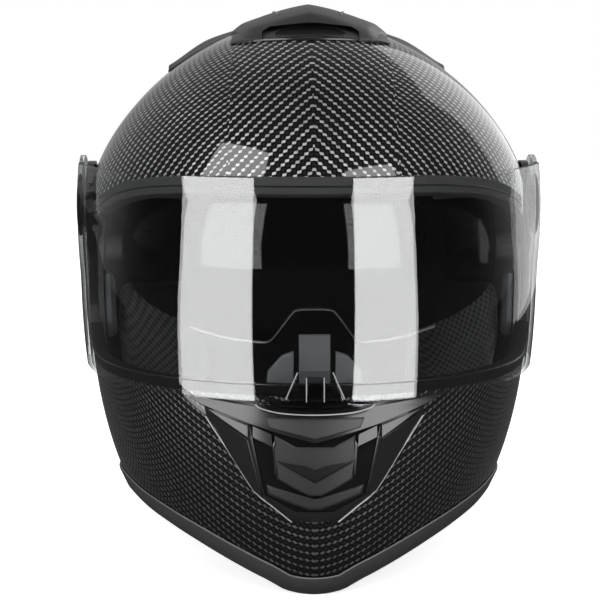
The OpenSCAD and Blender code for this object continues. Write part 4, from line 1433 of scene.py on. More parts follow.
def front_loft(
    name: str, rings: Sequence[tuple[Sequence[Point], "float | Height"]], steps: int,
    bevel: float = 0.0, fill: int = 3,
) -> bpy.types.Object:
    """Makes a plate on the front of the skin through rings of places.

    Args:
        name: The object's name.
        rings: Outlines, across and in rise, each with its stand-off, all in millimetres.
        steps: Points on each side of an outline.
        bevel: Width of its broken edges.
        fill: Insets that carry the outer face over the curve.

    Returns:
        The plate.
    """
    bm = bmesh.new()
    loops = []
    full = [(divided(outline, steps), off) for outline, off in rings]
    outline, off = full[-1]
    middle = (sum(p[0] for p in outline) / len(outline), sum(p[1] for p in outline) / len(outline))
    for k in range(1, fill + 1):
        t = k / (fill + 1)
        full.append(([
            (p[0] + (middle[0] - p[0]) * t, p[1] + (middle[1] - p[1]) * t) for p in outline
        ], off))
    for outline, off in full:
        height = off if callable(off) else (lambda x, z, flat=off: flat)
        verts = [bm.verts.new(world(SKIN.reach(x, z, height(x, z)), z, x)) for x, z in outline]
        loops.append(ring_edges(bm, verts))
    close_rings(bm, loops)
    if bevel:
        break_edges(bm, bevel)
    return new_piece(name, bm, 24)


def stepped(
    name: str, outline: Sequence[Point], levels: Sequence["float | Height"], by: float,
    steps: int, bevel: float = 0.0, fill: int = 3,
) -> bpy.types.Object:
    """Makes a plate on the front of the skin with one slanted edge.

    Args:
        name: The object's name.
        outline: Its outline, across and in rise.
        levels: Stand-off of its foot, of the edge's start and of its top.
        by: How far the top is drawn in.
        steps: As for front_loft.
        bevel: As for front_loft.
        fill: As for front_loft.

    Returns:
        The plate.
    """
    foot, edge, top = levels
    rings = [(outline, foot), (outline, edge), (inset(outline, by), top)]
    return front_loft(name, rings, steps, bevel, fill)


def front_line(name: str, line: Sequence[Point], off: float, radius: float) -> bpy.types.Object:
    """Makes a thin round bead on the front of the skin.

    Args:
        name: The object's name.
        line: Its course, across and in rise, in millimetres.
        off: Stand-off of its middle.
        radius: Its radius.

    Returns:
        The bead.
    """
    spots = tuple(world(SKIN.reach(x, z, off), z, x) for x, z in line)
    rim = Rim(spots, tuple(skin_normal(spot, off) for spot in spots))
    return rim.sweep(name, bead(0, 0, radius), 80)


def relief(
    name: str, place: Callable[[float, float], Point], height: Height, cols: int, rows: int,
    bevel: float = 0.0,
) -> bpy.types.Object:
    """Makes a raised piece on top of the shell.

    Args:
        name: The object's name.
        place: Across and reach, over u from -1 to 1 and v from 0 to 1.
        height: The stand-off there.
        cols: Faces across.
        rows: Faces front to back.
        bevel: Width of its broken edges.

    Returns:
        The piece.
    """
    foot, sharp = 0.3, 40
    bm = bmesh.new()
    grid = bmesh.ops.create_grid(bm, x_segments=cols, y_segments=rows, size=1.0)["verts"]
    spots = {v: (v.co.x, (1 - v.co.y) / 2) for v in grid}
    for v, (a, b) in spots.items():
        q = place(a, b)
        v.co = world(q[1], SKIN.rise(q[0], q[1], height(a, b)), q[0])
    made = bmesh.ops.extrude_face_region(bm, geom=bm.faces[:], use_keep_orig=True)["geom"]
    for v in only_verts(made):
        q = (v.co - PIVOT) / MM
        v.co.z = PIVOT.z + SKIN.rise(q.x, -q.y, foot) * MM
    bmesh.ops.recalc_face_normals(bm, faces=bm.faces)
    if bevel:
        break_edges(bm, bevel, sharp)
    return new_piece(name, bm, sharp)


@dataclass
class TopVent(Kit):
    """The hood on the crown with its shutter, and the spoiler behind it."""

    hood_h: float = 8.8
    widths: tuple = ((0, 31), (0.06, 35), (0.3, 38), (0.5, 42), (0.75, 34), (1, 14))
    spoiler_w: float = 77.0
    spoiler_h: float = 7.0

    def width(self, v: float) -> float:
        """Gives half the hood's width at a share of its length."""
        for (a, b), (c, d) in zip(self.widths, self.widths[1:]):
            if a <= v <= c:
                return b + (d - b) * smooth((v - a) / (c - a))
        return self.widths[-1][1]

    def roof(self, u: float) -> float:
        """Gives the share of the hood's height at a share of its half width."""
        rows = ((0, 1), (0.43, 0.66), (0.66, 0.5), (0.86, 0.42), (1.001, 0.1))
        for (a, b), (c, d) in zip(rows, rows[1:]):
            if a <= u <= c:
                return b + (d - b) * (u - a) / (c - a)
        return 0.0

    def build(self) -> None:
        """Builds the hood, its trims, the shutter and the spoiler."""
        self.hood()
        self.trims()
        outline = [
            (-15, 59.5), (-18, 55), (-18, 50), (-14, 47.5), (14, 47.5), (18, 50), (18, 55),
            (15, 59.5),
        ]
        shutter = self.shutter(outline)
        self.add(shutter, "crown_shutter", Finish.GLOSS, "top_vent_shutter")
        self.spoiler()

    def hood(self) -> None:
        """Makes the hood and opens its mouth."""
        piece = relief(
            "top_vent_cowl",
            lambda u, v: (u * self.width(v), 63 - 111 * v - 10 * u * u * (1 - v)),
            lambda u, v: 1.2 + (self.hood_h - 1.2) * self.roof(abs(u)) * smooth(v / 0.14)
            * smooth((1 - v) / 0.45), 64, 72,
        )
        mouth = [(-23, 0), (23, 0), (25, 94), (21, 96.5), (0, 98.7), (-21, 96.5), (-25, 94)]
        carve(piece, front_prism(rounded(mouth, 1.6), 34), Cut.OFF, 30)
        self.add(piece, "shell", Finish.SATIN, "top_vent_hood")

    def trims(self) -> None:
        """Makes the mouth's floor and lip, and the rib and the flare on each side."""
        floor = relief(
            "top_vent_floor", lambda u, v: (u * 24.6, 60.5 - 6 * u * u - 26 * v),
            lambda u, v: 0.6, 24, 12,
        )
        self.add(floor, "shell", Finish.RUBBER)
        lip = relief(
            "top_vent_lip", lambda u, v: (u * 25.5, 62.8 - 6.6 * u * u - 1.5 * v),
            lambda u, v: 1.5 - 0.4 * v, 32, 2, bevel=0.3,
        )
        self.add(lip, "shell", Finish.GLOSS)
        for side, mark in SIDES:
            rib = relief(
                f"top_vent_rib_{mark}",
                lambda u, v: (side * (16.2 + 0.4 * u + 4 * v), 33 - 50 * v),
                lambda u, v: 1.8 + (self.hood_h - 1.2) * self.roof(0.44) * smooth((1 - v) / 0.35),
                2, 24, bevel=0.12,
            )
            self.add(rib, "shell", Finish.GLOSS)
            flare = relief(
                f"top_vent_flare_{mark}",
                lambda u, v: (side * (36 + (5.5 - 1.5 * v) * u), 50 - 5 * u - 22 * v),
                lambda u, v: 1.5 - 0.6 * max(0.0, u), 8, 12, bevel=0.2,
            )
            self.add(flare, "shell", Finish.SATIN)

    def shutter(self, outline: Sequence[Point]) -> bpy.types.Object:
        """Makes the sliding shutter with its finger ridge."""
        bm = bmesh.new()
        loops = []
        for off, by in ((0.7, 0.0), (0.85, 0.0), (1.1, 0.45), (1.18, 1.2), (1.18, 3.0)):
            ring = divided(inset(outline, by), 5)
            verts = [bm.verts.new(world(y, SKIN.rise(x, y, off), x)) for x, y in ring]
            loops.append(ring_edges(bm, verts))
        close_rings(bm, loops)
        return new_piece("top_shutter_slide", bm)

    def spoiler(self) -> None:
        """Makes the spoiler behind the hood."""
        def place(u: float, v: float) -> Point:
            """Gives a place on the spoiler."""
            x = abs(u)
            front, back = -26 - 32 * (1 - x) ** 0.8, -40 - 68 * max(0.0, 1 - x * x) ** 0.7
            return (u * self.spoiler_w, front + (back - front) * v)

        piece = relief(
            "rear_wing", place,
            lambda u, v: 1 + (self.spoiler_h - 1) * smooth(v / 0.75)
            * (0.45 + 0.55 * smooth((1 - abs(u)) / 0.3)), 72, 22, bevel=0.5,
        )
        self.add(piece, "shell", Finish.SATIN, "rear_spoiler")


@dataclass
class ChinVent(Kit):
    """The vent on the chin: a faceted frame, a scoop and a slide with a raised chevron."""

    outer: tuple = ((22, -90.4), (36, -88.4), (54, -87), (53, -92), (29.5, -127), (11, -142))
    crest: tuple = ((22, -91.0), (35, -90.2), (46.5, -91), (34, -103), (26, -128.6), (10, -139.4))
    scoop: tuple = ((12, -100), (32, -93), (31, -99), (24.5, -129), (9, -137))
    slide: tuple = ((9, -105), (19.5, -99.5), (20, -110), (18.2, -120.8), (10, -125.4), (3, -128.6))

    def build(self) -> None:
        """Builds the vent."""
        self.frame()
        self.middle()
        for side, mark in SIDES:
            self.arm(side, mark)
        skirt = whole([(0.5, -130.5), (23.6, -124), (23, -128.8), (11.5, -133.2), (3, -136.0)])
        skirt = stepped("chin_vent_skirt", skirt, (0.7, 1.4, 2.4), 1.2, 5, 0.15)
        self.add(skirt, "chin", Finish.SATIN)
        # Pale rods along the vent's V outline paint the highlights of the carbon's cut edge.
        course = [(53.4, -92.6), (41.6, -109.6), (29.9, -127.3), (20.4, -135.2), (11.3, -142.4)]
        for (side, mark), radius in zip(SIDES, (0.42, 0.3)):
            line = flowing(on_side(course, side), 8)
            edge = front_line(f"chin_vent_highlight_edge_{mark}", line, 0.75, radius)
            self.add(edge, "chin", Finish.PALE_HIGHLIGHT)
        self.sliding()

    def frame(self) -> None:
        """Makes the frame and the floor of its opening, whose near-black is painted shade for the
        vent's depth.
        """
        outer, crest, scoop = whole(self.outer), whole(self.crest), whole(self.scoop)
        rings = [(outer, 0.25), (outer, 0.9), (inset(outer, 0.25), 1.2), (crest, 1.8)]
        frame = front_loft("chin_vent_surround", rings, 6, fill=4)
        hole = front_loft("tool", [(scoop, -2), (scoop, 3), (inset(scoop, -1.0), 12)], 6, fill=0)
        carve(frame, hole, Cut.OFF, 30)
        self.add(frame, "chin", Finish.GLOSS, "chin_vent_frame")
        # A flat near-black, dull sheet that paints the shade of the deep vent.
        ground = inset(scoop, 0.1)
        floor = front_loft("chin_vent_shade_floor", [(ground, 0.25), (ground, 0.75)], 5)
        self.add(floor, "chin", Finish.SEAL)

    def middle(self) -> None:
        """Makes the brow over the opening and the plate in its middle."""
        top = [(66, -82.0), (42, -83.2), (20, -83.6)]
        low = [(55, -87.2), (31.5, -94.6), (12, -99.8)]
        band = on_side(top, -1) + list(reversed(top)) + [*low, (0, -102.6)]
        band += on_side(list(reversed(low)), -1)
        levels = (0.25, self.slope(0.6), self.slope(1.0))
        self.add(stepped("chin_vent_brow", band, levels, 0.4, 8, fill=4), "chin", Finish.GLOSS)
        plate = [(-24, -91.0), (24, -91.0), (22, -95.6), (0, -100.6), (-22, -95.6)]
        levels = (self.slope(0.8), self.slope(1.3), self.slope(1.6))
        self.add(stepped("chin_vent_plate", plate, levels, 0.4, 6), "chin", Finish.SATIN)

    def arm(self, side: int, mark: str) -> None:
        """Makes one arm: its upper wedge, its lower panel and the step beside the slide."""
        wedge = [(52.4, -88.6), (32.6, -94.9), (32.6, -100.9)]
        panel = [(53, -89.6), (32.8, -101.6), (25.8, -129.4), (29.9, -127.4), (43.2, -107.6)]
        for name, outline, top in (
            ("wedge", wedge, self.slope(1.0)), ("panel", panel, self.fall(0.0)),
        ):
            levels = (0.25, self.lower(top, 0.35), top)
            made = stepped(f"chin_vent_{name}_{mark}", on_side(outline, side), levels, 0.35, 6)
            self.add(made, "chin", Finish.GLOSS)
        block = on_side([(30.6, -95), (21.2, -98.8), (20.8, -105), (30.6, -101)], side)
        levels = (0.7, self.slope(-1.8), self.slope(-1.4))
        step = stepped(f"chin_vent_step_{mark}", block, levels, 0.4, 4)
        self.add(step, "chin", Finish.GLOSS)

    @staticmethod
    def slope(foot: float) -> Height:
        """Gives a stand-off that grows downwards from under the visor."""
        return lambda x, z: foot + 0.32 * max(0.0, -86.0 - z)

    @staticmethod
    def fall(foot: float) -> Height:
        """Gives the stand-off of the arms' lower panels, which fall to the vent's outline."""
        return lambda x, z: foot + max(0.7, 35.8 - 0.338 * abs(x) + 0.186 * z)

    @staticmethod
    def lower(top: Height, by: float) -> Height:
        """Gives a stand-off a little under another."""
        return lambda x, z: top(x, z) - by

    def sliding(self) -> None:
        """Makes the slide with its chevron."""
        body = stepped("chin_vent_slide", whole(self.slide), (2.6, 2.9, 3.7), 0.9, 5)
        self.add(body, "chin_flap", Finish.SATIN, "chin_vent_flap")
        low = [
            (-18.4, -111.4), (0, -117.6), (18.4, -111.4), (17.9, -112.6), (0, -122.4),
            (-17.9, -112.6),
        ]
        top = [
            (-18, -111.7), (0, -118.6), (18, -111.7), (17.8, -112.3), (0, -121.2),
            (-17.8, -112.3),
        ]
        ridge = front_loft("chin_vent_chevron", [(low, 3.2), (low, 3.7), (top, 4.9)], 5, 0.1)
        self.add(ridge, "chin_flap", Finish.GLOSS)
        for side, mark in SIDES:
            rail = on_side([(19.4, -101.5), (20.6, -104), (19.6, -119), (18.6, -119)], side)
            rail = front_loft(f"chin_vent_rail_{mark}", [(rail, 1.2), (rail, 3.9)], 4, 0.2)
            self.add(rail, "chin_flap", Finish.GLOSS)


@dataclass
class SunVisor(Kit):
    """The smoked inner visor with its polished lower edge, whose grey is partly a painted
    highlight.
    """

    radius: float = 93.0
    half_w: float = 99.0
    axis: tuple = (30.0, -20.0)
    thick: float = 1.8
    foot: float = -58.5
    ear_r: float = 9.0
    stud_r: float = 3.3

    def surface(self, off: float) -> Surface:
        """Makes the visor's surface at a stand-off."""
        def point(angle: float, side: float) -> Vector:
            """Gives one point."""
            a, b = math.radians(angle), math.radians(side)
            c = abs(math.cos(b)) if abs(side) < 90 else 0.0
            r = (self.radius + off) * c
            return world(
                self.axis[0] + r * math.cos(a), self.axis[1] + r * math.sin(a),
                (self.half_w + off) * math.sin(b),
            )
        return point

    def build(self) -> None:
        """Builds the visor."""
        piece = skin_wall("sun_visor_pane", self.surface(0), self.surface(-self.thick), 144, 96)
        area = [
            (FAR, 33), (86, 33), (60, 20), (34, -12), (21, -20), (34, -28), (60, -39),
            (96, -51.5), (113, self.foot), (FAR, self.foot),
        ]
        tool = side_prism(rounded(area, 6))
        carve(tool, mirrored(rod(self.ear_r, 60, self.axis)), Cut.JOIN)
        carve(piece, tool, Cut.KEEP)
        nose = [(-27, -70), (-9, -41), (9, -41), (27, -70)]
        carve(piece, front_prism(rounded(nose, 6), 60), Cut.OFF)
        carve(piece, rod(self.stud_r, at=self.axis), Cut.OFF)
        self.add(piece, "sun_shade", Finish.SMOKE, "sun_visor")
        self.edge()

    def edge(self) -> None:
        """Makes the polished lower edge, whose grey is partly a painted highlight."""
        half = flowing([
            (-62, -53.6), (-45, -57.4), (-27.5, self.foot - 0.4), (-22.5, -58.2),
            (-19.5, -55.5), (-11.5, -44), (-8, -41.3), (0, -40.8),
        ])
        middle = self.surface(-self.thick / 2)
        spots, out = [], []
        for x, z in half + on_side(list(reversed(half[:-1])), -1):
            b = math.asin(x / self.half_w)
            a = math.asin((z - self.axis[1]) / (self.radius * math.cos(b)))
            spots.append(middle(math.degrees(a), math.degrees(b)))
            out.append((spots[-1] - world(*self.axis)).normalized())
        turn = [k * math.pi / 5 for k in range(10)]
        ring = [(0.95 * math.cos(a), 0.7 * math.sin(a)) for a in turn]
        rim = Rim(tuple(spots), tuple(out)).sweep("sun_visor_edge", ring, 80)
        self.add(rim, "sun_shade", Finish.EDGE)


@dataclass
class VisorFittings(Kit):
    """What is on the clear visor and its pivots: finger lip, tab, hubs and covers."""

    foot: float = 4.1

    def build(self) -> None:
        """Builds the fittings."""
        self.lip()
        self.lock()
        for side, mark in SIDES:
            self.pivot(side, mark)

    def lip(self) -> None:
        """Makes the finger lip and a painted highlight line along its brim."""
        lip = whole([(14.8, -82.4), (30, -83.6), (26, -86), (16, -88), (6, -88.6)])
        rings = [(lip, self.foot), (lip, 5.6), (inset(lip, 0.5), 7.0), (inset(lip, 1.4), 7.5)]
        piece = front_loft("visor_finger_lip", rings, 6, 0.25)
        bm = bmesh.new()
        add_skin(bm, SKIN.surface(self.foot, True), 180, 96)
        carve(piece, new_piece("tool", bm), Cut.OFF, 30)
        self.add(piece, "clear_visor", Finish.LENS, "visor_tab")
        self.line("visor_lip_brim_highlight", flowing([
            (-29, -84.3), (-25.6, -86.3), (-16, -88.2), (0, -88.8), (16, -88.2), (25.6, -86.3),
            (29, -84.3),
        ]), 6.7, 0.32)

    def lock(self) -> None:
        """Makes the lock's tab, its gate and painted highlight lines along their edges."""
        tab = whole([(8.4, -68), (14.4, -81.6), (14.6, -83)])
        tab = stepped("visor_lock_tab", tab, (self.foot, 4.9, 5.4), 0.6, 5, 0.15)
        self.add(tab, "clear_visor", Finish.TAB)
        flank = [(8.6, -68.6), (11.5, -75.2), (14.3, -81.6)]
        guide = [(4.3, -71), (4.3, -76), (4.3, -82.6)]
        for side, mark in SIDES:
            self.line(f"visor_tab_flank_highlight_{mark}", flowing(on_side(flank, side)), 5.4, 0.22)
            self.line(f"visor_gate_guide_highlight_{mark}", flowing(on_side(guide, side)), 6.7, 0.2)
        gate = [(-4.3, -70.5), (4.3, -70.5), (4.3, -83), (-4.3, -83)]
        gate = stepped("visor_lock_gate", gate, (5.3, 6.4, 6.8), 0.5, 4, 0.1)
        self.add(gate, "clear_visor", Finish.TAB)

    def line(self, name: str, course: Sequence[Point], off: float, radius: float) -> None:
        """Draws one painted highlight line on the clear visor."""
        self.add(front_line(name, course, off, radius), "clear_visor", Finish.PALE_HIGHLIGHT)

    def pivot(self, side: int, mark: str) -> None:
        """Makes the cover and the hub of one pivot."""
        cover = turned(f"pivot_cover_{mark}", [
            (0.01, 124.0), (17, 124.0), (17, 124.25), (16.5, 124.7), (14.4, 125.15),
            (13.4, 125.2), (12.9, 124.95), (12.4, 125.2), (4, 125.5), (3.4, 125.2),
            (0.01, 125.2),
        ], sharp=32)
        hub = turned(f"visor_hub_{mark}", [
            (0.01, 119.7), (16, 119.7), (16, 120.7), (15.7, 120.9), (12, 120.9), (12, 124.0),
            (0.01, 124.0),
        ], steps=72, sharp=32)
        if side < 0:
            self.turn_over(cover)
            self.turn_over(hub)
        self.add(cover, "shell", Finish.SATIN, *(["pivot_caps"] if side > 0 else []))
        self.add(hub, "shell", Finish.SLATE, *(["visor_hubs"] if side > 0 else []))

    @staticmethod
    def turn_over(piece: bpy.types.Object) -> None:
        """Moves a piece to its mirror image."""
        bm = bmesh.new()
        bm.from_mesh(piece.data)
        bmesh.ops.scale(bm, verts=bm.verts, vec=(-1, 1, 1))
        bmesh.ops.reverse_faces(bm, faces=bm.faces)
        bm.to_mesh(piece.data)
        bm.free()


@dataclass
class Padding(Kit):
    """The padded parts: crown, cheeks, neck and chin."""

    pressure: float = 4.0
    slimmed: float = 1.2
    frames: int = 20

    def puff(
        self, node: str, name: str, body: str, finish: Finish, cap: float, fill: float,
        voxel: float = 4.0,
    ) -> None:
        """Swells a padded copy of a CAD solid and smooths it.

        Args:
            node: The CAD node.
            name: The new piece's name.
            body: The body that it moves with.
            finish: Its finish.
            cap: How far a point may move, in millimetres.
            fill: How tight the pad is, from 0 to 1; not used.
            voxel: Size of its first faces in millimetres.
        """
        all_smooth = 180
        bm = merged(self.nodes[node].data)
        bmesh.ops.recalc_face_normals(bm, faces=bm.faces)
        pad = new_piece(name, bm, all_smooth)
        step = pad.modifiers.new("even", "REMESH")
        step.mode, step.voxel_size = "VOXEL", voxel * MM
        bake_modifiers(pad, all_smooth)
        slim = pad.modifiers.new("slim", "DISPLACE")
        slim.strength, slim.mid_level = -self.slimmed * MM, 0.0
        bake_modifiers(pad, all_smooth)
        rest = [v.co.copy() for v in pad.data.vertices]
        cloth = pad.modifiers.new("cloth", "CLOTH")
        cloth.settings.use_pressure = True
        cloth.settings.uniform_pressure_force = self.pressure
        cloth.settings.effector_weights.gravity = 0.0
        cloth.settings.quality = 6
        for frame in range(1, self.frames + 1):
            bpy.context.scene.frame_set(frame)
        bake_modifiers(pad, all_smooth)
        for v, home in zip(pad.data.vertices, rest):
            move = v.co - home
            if move.length > cap * MM:
                v.co = home + move.normalized() * cap * MM
        bpy.context.scene.frame_set(1)
        finer = pad.modifiers.new("finer", "SUBSURF")
        finer.levels = finer.render_levels = 1
        bake_modifiers(pad, all_smooth)
        self.add(pad, body, finish, node)

    def build(self) -> None:
        """Builds the padding."""
        self.puff("crown_padding", "crown_pad", "shell", Finish.LINING, 2.5, 0.6, voxel=5.0)
        for _, mark in SIDES:
            name = f"cheek_cushion_{mark}"
            self.puff(f"cheek_pad_{mark}", name, "shell", Finish.MESH, 3.0, 0.8)
        self.puff("neck_roll", "neck_cushion", "shell", Finish.LINING, 2.0, 0.8)
        self.puff("chin_liner", "chin_cushion", "chin", Finish.LINING, 1.5, 0.6)


@dataclass
class Inside(Kit):
    """What is seen or used inside: foam, side plates, breath guard, latch, pins and slider."""

    def build(self) -> None:
        """Builds or dresses the pieces."""
        refined = [
            ("foam_liner", "impact_foam", "shell", Finish.FOAM, 0.0),
            ("port_side_trims", "port_side_plates", "shell", Finish.SLATE, 0.4),
            ("breath_guard", "nose_guard", "chin", Finish.SLATE, 0.4),
            ("visor_catch", "visor_striker", "chin", Finish.CHROME, 0.15),
            ("latch_housing", "latch_case", "chin", Finish.SATIN, 0.5),
            ("latch_button", "release_key", "release_button", Finish.RED, 0.8),
            ("latch_hooks", "latch_claws", "hooks", Finish.STEEL, 0.3),
            ("hinge_plates", "hinge_steel", "chin", Finish.STEEL, 0.2),
            ("sun_slider_rail", "shade_rail", "shell", Finish.SATIN, 0.5),
            ("sun_slider", "shade_thumb_slide", "shade_slider", Finish.SLATE, 0.25),
            ("buckle_body", "buckle_frame", "shell", Finish.SATIN, 0.5),
            ("buckle_lever", "buckle_pull", "strap_lever", Finish.RED, 0.4),
            ("strap_tongue", "ratchet_tongue", "shell", Finish.STEEL, 0.2),
        ]
        groove = [(7.6, -48), (10.3, -48), (10.3, -80), (7.6, -80)]
        for node, name, body, finish, bevel in refined:
            piece = self.refine(node, name, bevel)
            if node == "breath_guard":
                for side, _ in SIDES:
                    carve(piece, front_prism(on_side(groove, side), 60), Cut.OFF)
            self.add(piece, body, finish, node)
        for node in ("pivot_pins", "striker_pins", "hook_pins", "strap_rivets"):
            self.keep(node, Finish.STEEL)
        self.keep("sun_visor_studs", Finish.RUBBER)
        self.slot_floor()

    def slot_floor(self) -> None:
        """Closes the slot in the slider's rail from below."""
        bm = bmesh.new()
        for vert in self.nodes["sun_slider_rail"].data.vertices:
            bm.verts.new(vert.co)
        bmesh.ops.remove_doubles(bm, verts=bm.verts, dist=2e-6)
        made = bmesh.ops.convex_hull(bm, input=bm.verts)
        bmesh.ops.delete(bm, geom=made["geom_interior"], context="VERTS")
        middle = sum((v.co for v in bm.verts), Vector()) / len(bm.verts)
        bmesh.ops.translate(bm, verts=bm.verts, vec=-middle)
        bmesh.ops.scale(bm, verts=bm.verts, vec=(1, 0.96, 0.9))
        bmesh.ops.translate(bm, verts=bm.verts, vec=middle + Vector((-1.1 * MM, 0, 0)))
        bmesh.ops.recalc_face_normals(bm, faces=bm.faces)
        self.add(new_piece("shade_rail_floor", bm, 30), "shell", Finish.SEAL)


@dataclass
class Straps(Kit):
    """The chin strap's two webbings and their stitching."""

    reach: float = -18.0
    width: float = 24.0
    thick: float = 1.8
    path: tuple = (
        (96.5, -116), (95.6, -130), (92, -141), (86.5, -151), (79, -160), (69, -167), (58, -171.5),
    )
    seam: float = 9.6
    stitch: float = 2.8

    def build(self) -> None:
        """Builds both straps."""
        for side, mark in SIDES:
            strap = self.webbing(f"strap_webbing_{mark}", side)
            self.add(strap, "shell", Finish.WEBBING, f"strap_{mark}")
            stitches = self.stitching(f"strap_stitching_{mark}", side)
            self.add(stitches, "shell", Finish.THREAD)

    def spots(self, side: int) -> list[tuple[Vector, Vector]]:
        """Gives places along the strap, each with the direction across its face."""
        line = flowing(self.path, 8)
        made = []
        for i, (x, z) in enumerate(line):
            a, b = line[max(0, i - 1)], line[min(len(line) - 1, i + 1)]
            d = Vector((b[0] - a[0], b[1] - a[1])).normalized()
            made.append((world(self.reach, z, x * side), Vector((-d.y * side, 0, d.x))))
        return made

    def webbing(self, name: str, side: int) -> bpy.types.Object:
        """Makes one webbing with a UV map that runs along it."""
        bm = bmesh.new()
        layer = bm.loops.layers.uv.new("run")
        w, t = self.width / 2, self.thick / 2
        profile = [
            (-w, 0), (-w + 0.5, t), (-w + 3, t), (0, t * 0.92), (w - 3, t), (w - 0.5, t), (w, 0),
            (w - 0.5, -t), (w - 3, -t), (0, -t * 0.92), (-w + 3, -t), (-w + 0.5, -t),
        ]
        rings, run, last, where = [], 0.0, None, {}
        for spot, face in self.spots(side):
            run += (spot - last).length if last else 0.0
            last = spot
            rings.append([
                bm.verts.new(spot + Vector((0, -p[0] * MM, 0)) + face * p[1] * MM) for p in profile
            ])
            where.update({v: (run, p[0] * MM) for v, p in zip(rings[-1], profile)})
        sweep_rings(bm, rings)
        for f in bm.faces:
            for corner in f.loops:
                corner[layer].uv = where[corner.vert]
        return new_piece(name, bm, 50)

    def stitching(self, name: str, side: int) -> bpy.types.Object:
        """Makes the two rows of stitches and the box by the rivet."""
        bm = bmesh.new()
        spots = self.spots(side)
        marks = []
        for i in range(6, len(spots) - 2):
            (a, face), (b, _) = spots[i], spots[i + 1]
            along = (b - a).normalized()
            for k in (0.2, 0.7):
                for across in (-self.seam, self.seam):
                    marks.append((a.lerp(b, k) + Vector((0, across * MM, 0)), along, face))
        for row in range(-3, 4):
            for a, face in (spots[7], spots[15]):
                place = a + Vector((0, row * self.stitch * MM, 0))
                marks.append((place, Vector((0, 1, 0)), face))
        for spot, along, face in marks:
            for way in (-1, 1):
                made = bmesh.ops.create_icosphere(bm, subdivisions=1, radius=0.3 * MM)["verts"]
                turn = Matrix.Translation(spot + face * way * 0.95 * MM) @ Matrix((
                    (*along, 0), (*face, 0), (*along.cross(face), 0), (0, 0, 0, 1)
                )).transposed() @ Matrix.Diagonal((3.2, 0.6, 1, 1))
                bmesh.ops.transform(bm, matrix=turn, verts=made)
        return new_piece(name, bm, 60)


# ------------------------------------------------------------------ the set round it
def heading(azimuth: float, elevation: float) -> Vector:
    """Gives a direction from degrees to the left of straight ahead and above level."""
    a, e = math.radians(azimuth), math.radians(elevation)
    return Vector((math.sin(a) * math.cos(e), -math.cos(a) * math.cos(e), math.sin(e)))


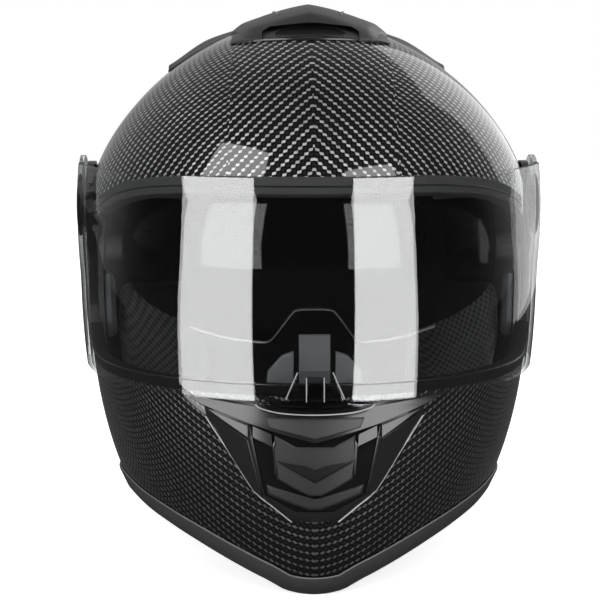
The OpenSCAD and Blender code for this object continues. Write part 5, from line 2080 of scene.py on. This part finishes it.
@dataclass
class Studio:
    """The camera, the floor, the light panels, the lamps and the world."""

    distance: float = 1.078
    elevation: float = 8.0
    azimuth: float = -1.2
    lens: float = 117.3
    target: tuple = (-0.0044, -0.024, 0.129)
    panel_away: float = 1.3
    panel_middle: tuple = (0, -0.024, 0.16)
    lamp_away: float = 1.6
    lamp_middle: tuple = (0, 0, 0.13)

    def camera(self) -> None:
        """Places the camera."""
        data = bpy.data.cameras.new("camera")
        data.lens, data.sensor_width = self.lens, 36.0
        data.clip_start, data.clip_end = 0.05, 60.0
        camera = bpy.data.objects.new("camera", data)
        bpy.context.scene.collection.objects.link(camera)
        away = heading(self.azimuth, self.elevation)
        camera.location = Vector(self.target) + away * self.distance
        camera.rotation_euler = (-away).to_track_quat("-Z", "Y").to_euler()
        bpy.context.scene.camera = camera

    def floor(self) -> None:
        """Lays the floor, white to the camera, dark to shiny surfaces as painted shade in their
        reflections, and pale to everything else.
        """
        bm = bmesh.new()
        bmesh.ops.create_grid(bm, x_segments=1, y_segments=1, size=3.0)
        piece = new_piece("floor", bm)
        sheet = ShaderSheet("pale_floor")
        base = sheet.node("ShaderNodeBsdfPrincipled", {}, {
            "Base Color": (0.82, 0.82, 0.82, 1.0), "Roughness": 0.9, "Specular IOR Level": 0.1,
        })
        glow = sheet.node("ShaderNodeEmission", {}, {"Color": WHITE, "Strength": 0.8})
        both = sheet.node("ShaderNodeAddShader", {}, [base, glow])
        path = sheet.tree.nodes.new("ShaderNodeLightPath")
        seen = Value(sheet, path.outputs["Is Camera Ray"])
        seen = seen.maths("MAXIMUM", Value(sheet, path.outputs["Is Transmission Ray"]))
        # Painted shade: shiny surfaces see the floor dark instead of lit.
        reflected_shade = sheet.node("ShaderNodeBsdfDiffuse", {}, {"Color": (0.09, 0.09, 0.09, 1.0)})
        base = sheet.node(
            "ShaderNodeMixShader", {}, [Value(sheet, path.outputs["Is Glossy Ray"]), base, reflected_shade]
        )
        lit = sheet.node("ShaderNodeMixShader", {}, [seen, base, both])
        piece.data.materials.append(sheet.shown(lit))

    def panel(self, name: str, corners: Sequence[Point], strength: float) -> None:
        """Hangs a bright panel that only shiny surfaces see.

        Args:
            name: Its name.
            corners: Azimuth and elevation of its corners, in degrees.
            strength: Its brightness, where 1 is white.
        """
        bm = bmesh.new()
        middle = Vector(self.panel_middle)
        bm.faces.new([
            bm.verts.new(middle + heading(*corner) * self.panel_away) for corner in corners
        ])
        piece = new_piece(name, bm)
        sheet = ShaderSheet(name)
        glow = sheet.node("ShaderNodeEmission", {}, {"Color": WHITE, "Strength": strength})
        piece.data.materials.append(sheet.shown(glow))
        piece.visible_camera = piece.visible_diffuse = piece.visible_transmission = False
        piece.visible_shadow = False

    def lamp(self, name: str, azimuth: float, elevation: float, power: float, size: float) -> None:
        """Hangs a soft lamp that aims at the helmet."""
        data = bpy.data.lights.new(name, "AREA")
        data.energy, data.size, data.shape = power, size, "DISK"
        lamp = bpy.data.objects.new(name, data)
        bpy.context.scene.collection.objects.link(lamp)
        out = heading(azimuth, elevation)
        lamp.location = Vector(self.lamp_middle) + out * self.lamp_away
        lamp.rotation_euler = (-out).to_track_quat("-Z", "Y").to_euler()
        lamp.visible_glossy = False

    def surroundings(self) -> None:
        """Sets the white surroundings, which shiny surfaces see brighter from behind."""
        world = bpy.data.worlds.new("surroundings")
        bpy.context.scene.world = world
        world.use_nodes = True
        tree = world.node_tree
        tree.nodes.clear()
        path = tree.nodes.new("ShaderNodeLightPath")
        spot = tree.nodes.new("ShaderNodeTexCoord")
        parts = tree.nodes.new("ShaderNodeSeparateXYZ")
        tree.links.new(spot.outputs["Generated"], parts.inputs[0])
        side = tree.nodes.new("ShaderNodeMapRange")
        side.interpolation_type = "SMOOTHSTEP"
        tree.links.new(parts.outputs[1], side.inputs[0])
        for slot, level in zip((1, 2, 3, 4), (-0.1, 0.95, 0.03, 0.4)):
            side.inputs[slot].default_value = level
        levels = [("Is Diffuse Ray", 0.36), ("Is Glossy Ray", side.outputs[0])]
        strength: object = 1.0
        for ray, level in levels:
            mix = tree.nodes.new("ShaderNodeMix")
            tree.links.new(path.outputs[ray], mix.inputs[0])
            for slot, item in ((2, strength), (3, level)):
                if isinstance(item, float):
                    mix.inputs[slot].default_value = item
                else:
                    tree.links.new(item, mix.inputs[slot])
            strength = mix.outputs[0]
        back = tree.nodes.new("ShaderNodeBackground")
        back.inputs[0].default_value = WHITE
        tree.links.new(strength, back.inputs[1])
        out = tree.nodes.new("ShaderNodeOutputWorld")
        tree.links.new(back.outputs[0], out.inputs[0])

    def build(self) -> None:
        """Sets up everything."""
        self.camera()
        self.floor()
        self.surroundings()
        self.panel("panel_left", [(-26.9, -10), (-26.9, 46), (-63, 46), (-63, -10)], 6.4)
        self.panel("panel_right", [(19.5, -10), (49, -10), (49, 38), (19.5, 38)], 6.5)
        self.panel("panel_rim", [(118, -25), (158, -25), (158, 45), (118, 45)], 1.6)
        self.lamp("key", 25, 40, 11, 1.2)
        self.lamp("fill", -35, 30, 8, 1.2)
        self.lamp("top", 160, 70, 10, 1.4)
        bpy.context.scene.view_settings.view_transform = "Standard"


def main() -> None:
    """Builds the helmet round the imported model."""
    logging.basicConfig(level=logging.INFO, format="%(message)s")
    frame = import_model()
    Kit.nodes = frame["nodes"]
    Studio().build()
    parts = (
        Shell(), ChinBar(), Visor(), TopVent(), ChinVent(), SunVisor(), VisorFittings(), Padding(),
        Inside(), Straps(),
    )
    for part in parts:
        part.build()


if __name__ == "__main__":
    main()
